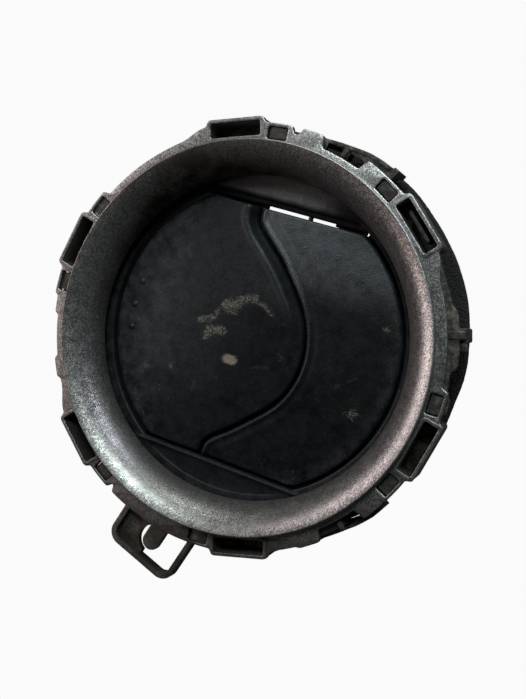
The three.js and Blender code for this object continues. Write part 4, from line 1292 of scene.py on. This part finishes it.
# Dried spots, as middle and size, and how strong they are on each flap.
SPOTS = {
    "left": [((9.5, -2.8), 1.3), ((-20, -14), 1.2), ((-27, -16), 1.4)],
    "right": [((34.1, 12.6), 1.0), ((31.8, -10.3), 1.7)],
}
SPOT_STRENGTH = {"left": 0.62, "right": 0.85}
SMEAR_GROWTH = 1.15


def stroke(x, y, start, end, width):
    """1 along a straight scratch, falling to 0 beside it."""
    ax, ay = start
    bx, by = end
    length = (bx - ax) ** 2 + (by - ay) ** 2
    t = np.clip(((x - ax) * (bx - ax) + (y - ay) * (by - ay)) / length, 0, 1)
    return bell(np.hypot(x - ax - t * (bx - ax), y - ay - t * (by - ay)), width)


def paint_flap(mesh, name):
    x, y, z = points_of(mesh).T
    front = smoothstep(FLAP_TOP - 1.5, FLAP_TOP - 0.8, z)
    to_split = distance_to(x, y, split_offset((-1 if name == "left" else 1) * SPLIT_GAP / 2))
    to_rim = FLAP_RIM - np.hypot(x, y)
    dust_and_light = 0.2 + 0.5 * smoothstep(5, 0.5, to_rim)
    smear = np.zeros_like(x)
    pale_mark = np.zeros_like(x)
    if name == "left":
        dust_and_light += 0.85 * smoothstep(-16, -33, x)
        for start, end, width in SMEARS:
            smear = np.maximum(smear, SMEAR_GROWTH * stroke(x, y, start, end, SMEAR_GROWTH * width))
        oval = ((x + 4.0) / 2.0) ** 2 + ((y + 7.1) / 1.25) ** 2
        pale_mark = smoothstep(1.25, 0.8, oval)
    for start, end in SCRATCHES[name]:
        pale_mark = np.maximum(pale_mark, 0.13 * stroke(x, y, start, end, 0.2))
    for centre, size in SPOTS[name]:
        spot = bell(np.hypot(x - centre[0], y - centre[1]), size)
        smear = np.maximum(smear, SPOT_STRENGTH[name] * spot)
    if name == "left":
        mark(mesh, "grain", 0.14)
        # Painted light on the left flap: less sheen low down, in the middle and on the fold as painted
        # shade, and a painted highlight along the ridge with pale colour.
        middle = smoothstep(-20, 4, x) * smoothstep(16, 4, y)
        fold = smoothstep(4, 14, y) * smoothstep(2.9, 2.3, to_split)
        ridge = smoothstep(10, 20, y) * bell(to_split - 3.2, 0.45)
        flat = (0.45 + 0.6 * smoothstep(-26, -6, y)) * (1 - 0.75 * middle)
        mark(mesh, "sheen", np.minimum(1, flat * (1 - 0.8 * fold) + 0.9 * ridge) / MOST_SHEEN)
        dust_and_light += 0.5 * ridge
    else:
        # Painted light on the right flap: a bright upper zone with more sheen and pale colour, and a
        # painted highlight along the bead.
        mark(mesh, "grain", 0.4 + 0.9 * smoothstep(0, 14, y))
        bead = bell(to_split - 0.85, 0.4) * smoothstep(30, 16, y)
        sheen = 0.08 + 0.3 * smoothstep(-16, 8, y) + 1.75 * smoothstep(12, 29, y) + 0.7 * bead
        mark(mesh, "sheen", sheen / MOST_SHEEN)
        dust_and_light += 1.7 * smoothstep(12, 29, y) * smoothstep(36, 22, x)
    mark(mesh, "dust_and_light", dust_and_light * front)
    mark(mesh, "smear", smear * front)
    mark(mesh, "pale_mark", pale_mark * front)


def make_flap(name, material):
    side = -1 if name == "left" else 1
    x = HINGE_X[name]
    back = FLAP_TOP - FLAP_THICKNESS + 0.3
    parts = [*spine(x, back + 0.2), crank(x), *back_ribs(side, back)]
    if name == "left":
        parts += [finger_dot(angle) for angle in DOT_ANGLES]
    else:
        parts += split_lip()
    mesh = combined(flap_face(side), parts)
    holes = hinge_bores(x, PIN_RADIUS + 0.05, PIN_START - 0.3, SPINE_HALF + 0.9)
    mesh = combined(mesh, holes, "DIFFERENCE")
    paint_flap(mesh, name)
    show(f"{name}_shutter", mesh, ROTOR, material, f"{name}_flap", [f"{name}_flap"])


# ---------- pins, bushes and link ----------

def make_hinge_hardware(steel_material, bush_material):
    for name, x in HINGE_X.items():
        start = BUSH_START[name]
        end = start + BUSH_LENGTH
        for place, side in (("upper", 1), ("lower", -1)):
            pin = [(0, PIN_START), (PIN_RADIUS - 0.15, PIN_START), (PIN_RADIUS, PIN_START + 0.2),
                   (PIN_RADIUS, end - 0.2), (PIN_RADIUS - 0.15, end), (0, end)]
            show(f"{name}_{place}_hinge_pin", round_bar(pin, x, HINGE_Z, side), ROTOR, steel_material,
                 f"{name}_flap", [f"{name}_{place}_pin"])
            bore = PIN_RADIUS + 0.08
            wide = BUSH_RADIUS
            bush = [(bore, start + 0.15), (bore + 0.15, start), (wide - 0.15, start), (wide, start + 0.15),
                    (wide, end - 0.2), (wide - 0.2, end), (bore + 0.15, end), (bore, end - 0.15)]
            show(f"{name}_{place}_sleeve", round_bar(bush, x, HINGE_Z, side), ROTOR, bush_material,
                 "rotor", [f"{name}_{place}_bush"])


def make_link(material, steel_material):
    left = crank_end(HINGE_X["left"])
    right = crank_end(HINGE_X["right"])
    outline = arc(left, LINK_END_RADIUS, 35, 325, 20) + arc(right, LINK_END_RADIUS, 215, 505, 20)
    holes = [ring_of(LINK_PIN_RADIUS + 0.15, 24, end) for end in (left, right)]
    head = LINK_START + LINK_THICKNESS
    bar = upright(plate([outline, *holes], -head, -LINK_START, 0.25))
    channel = rectangle(left[0] + 3.4, right[0] - 3.4, left[1] - CHANNEL_HALF, left[1] + CHANNEL_HALF, 0.5)
    cut = upright(plate([channel], -head - 1, -head + 0.5, 0.1))
    mesh = combined(bar, [cut], "DIFFERENCE")
    mark(mesh, "dust_and_light", 0.3)
    show("tie_bar", mesh, ROTOR, material, "link", ["link_bar"])
    for name, x in HINGE_X.items():
        end_x, end_z = crank_end(x)
        r = LINK_PIN_RADIUS
        profile = [(0, -1.8), (r - 0.15, -1.8), (r, -1.6), (r, head + 0.3), (r + 0.6, head + 0.35),
                   (r + 0.6, head + 0.8), (r + 0.35, head + 1.08), (0, head + 1.1)]
        show(f"{name}_crank_pin", round_bar(profile, end_x, end_z), ROTOR, steel_material,
             f"{name}_flap", [f"{name}_link_pin"])


# ---------- stage ----------

def make_floor():
    """A pale floor that curves up into a backdrop a long way off."""
    points = [(0.4, 0), (3, 0), (5, 0.2), (6, 1), (6.4, 2.5), (6.5, 5)]
    steps = 64
    faces = turned_faces(len(points), steps, closed=False)
    faces.append([k * len(points) for k in range(steps)])
    mesh = bpy.data.meshes.new("floor")
    mesh.from_pydata(turned_points(points, steps), [], faces)
    mesh.shade_smooth()
    paint = Paint("floor_white", Roughness=0.9, Emission_Strength=0.96)
    shade = paint.cloud(400, 3.0)
    paint.feed("Base Color", paint.mix(shade, (0.80, 0.80, 0.80), (0.82, 0.82, 0.82)))
    paint.shader.inputs["Emission Color"].default_value = (1, 1, 1, 1)
    mesh.materials.append(paint.material)
    floor = bpy.data.objects.new("floor", mesh)
    bpy.context.scene.collection.objects.link(floor)
    floor.visible_glossy = False
    floor.visible_diffuse = False


LIGHT_DISTANCE = 1.0
LIGHT_SIZE = 0.4
LIGHTS = [  # name, direction, power and colour
    ("above", (0.20, 0.63, 0.75), 4.3, (0.88, 1.0, 0.96)),
    ("upper_left", (-0.72, 0.49, 0.50), 2.5, (1.0, 0.88, 0.88)),
    ("upper_right", (0.69, 0.69, 0.20), 3.2, (0.85, 0.90, 1.0)),
    ("left", (-0.87, 0.02, 0.50), 1.35, (1.0, 0.79, 0.74)),
    ("top", (0.0, 0.98, 0.20), 1.7, (0.94, 1.0, 0.92)),
]


def area_light(name, direction, power, colour):
    """A soft round light that shines on the vent from a direction."""
    data = bpy.data.lights.new(name, "AREA")
    data.shape = "DISK"
    data.size = LIGHT_SIZE
    data.energy = power
    data.color = colour
    light = bpy.data.objects.new(name, data)
    aim = VENT @ Vector((0, 0, HEIGHT - 6))
    way = Vector(direction).normalized()
    light.location = aim + way * LIGHT_DISTANCE
    light.rotation_mode = "QUATERNION"
    light.rotation_quaternion = way.to_track_quat("Z", "Y")
    bpy.context.scene.collection.objects.link(light)


def make_lights():
    for light in LIGHTS:
        area_light(*light)
    world = bpy.data.worlds.new("room")
    bpy.context.scene.world = world
    world.use_nodes = True
    sky = world.node_tree.nodes["Background"]
    sky.inputs["Color"].default_value = (0.9, 0.95, 1.0, 1)
    sky.inputs["Strength"].default_value = 0.045
    bpy.context.scene.view_settings.view_transform = "Standard"


def make_camera():
    """The viewpoint: nearly square on to the vent, from a little to its right."""
    position = VENT @ Vector((83.0, 1.1, 257.3))
    aim = VENT @ Vector((7.8, -2.7, 48.0))
    back = (position - aim).normalized()
    right = Vector((0, 1, 0)).cross(back).normalized()
    up = back.cross(right)
    data = bpy.data.cameras.new("camera")
    data.lens = 46.35
    data.sensor_width = 36
    data.clip_start = 0.01
    data.clip_end = 50
    camera = bpy.data.objects.new("camera", data)
    turn = Matrix((right, up, back)).transposed() @ Matrix.Rotation(math.radians(-0.35), 3, "Z")
    camera.matrix_world = Matrix.Translation(position) @ turn.to_4x4()
    bpy.context.scene.collection.objects.link(camera)
    bpy.context.scene.camera = camera


make_camera()
make_lights()
make_floor()

plastic = bare_plastic()
shutter_plastic = flap_plastic()
pin_steel = steel()

make_bezel(graphite_paint())
make_collar(plastic)
make_barrel(plastic)
make_foam(foam_material())
make_friction_ring(felt())
make_rotor(shutter_plastic)
make_retainer(plastic)
make_flap("left", shutter_plastic)
make_flap("right", shutter_plastic)
make_hinge_hardware(pin_steel, bush_plastic())
make_link(plastic, pin_steel)
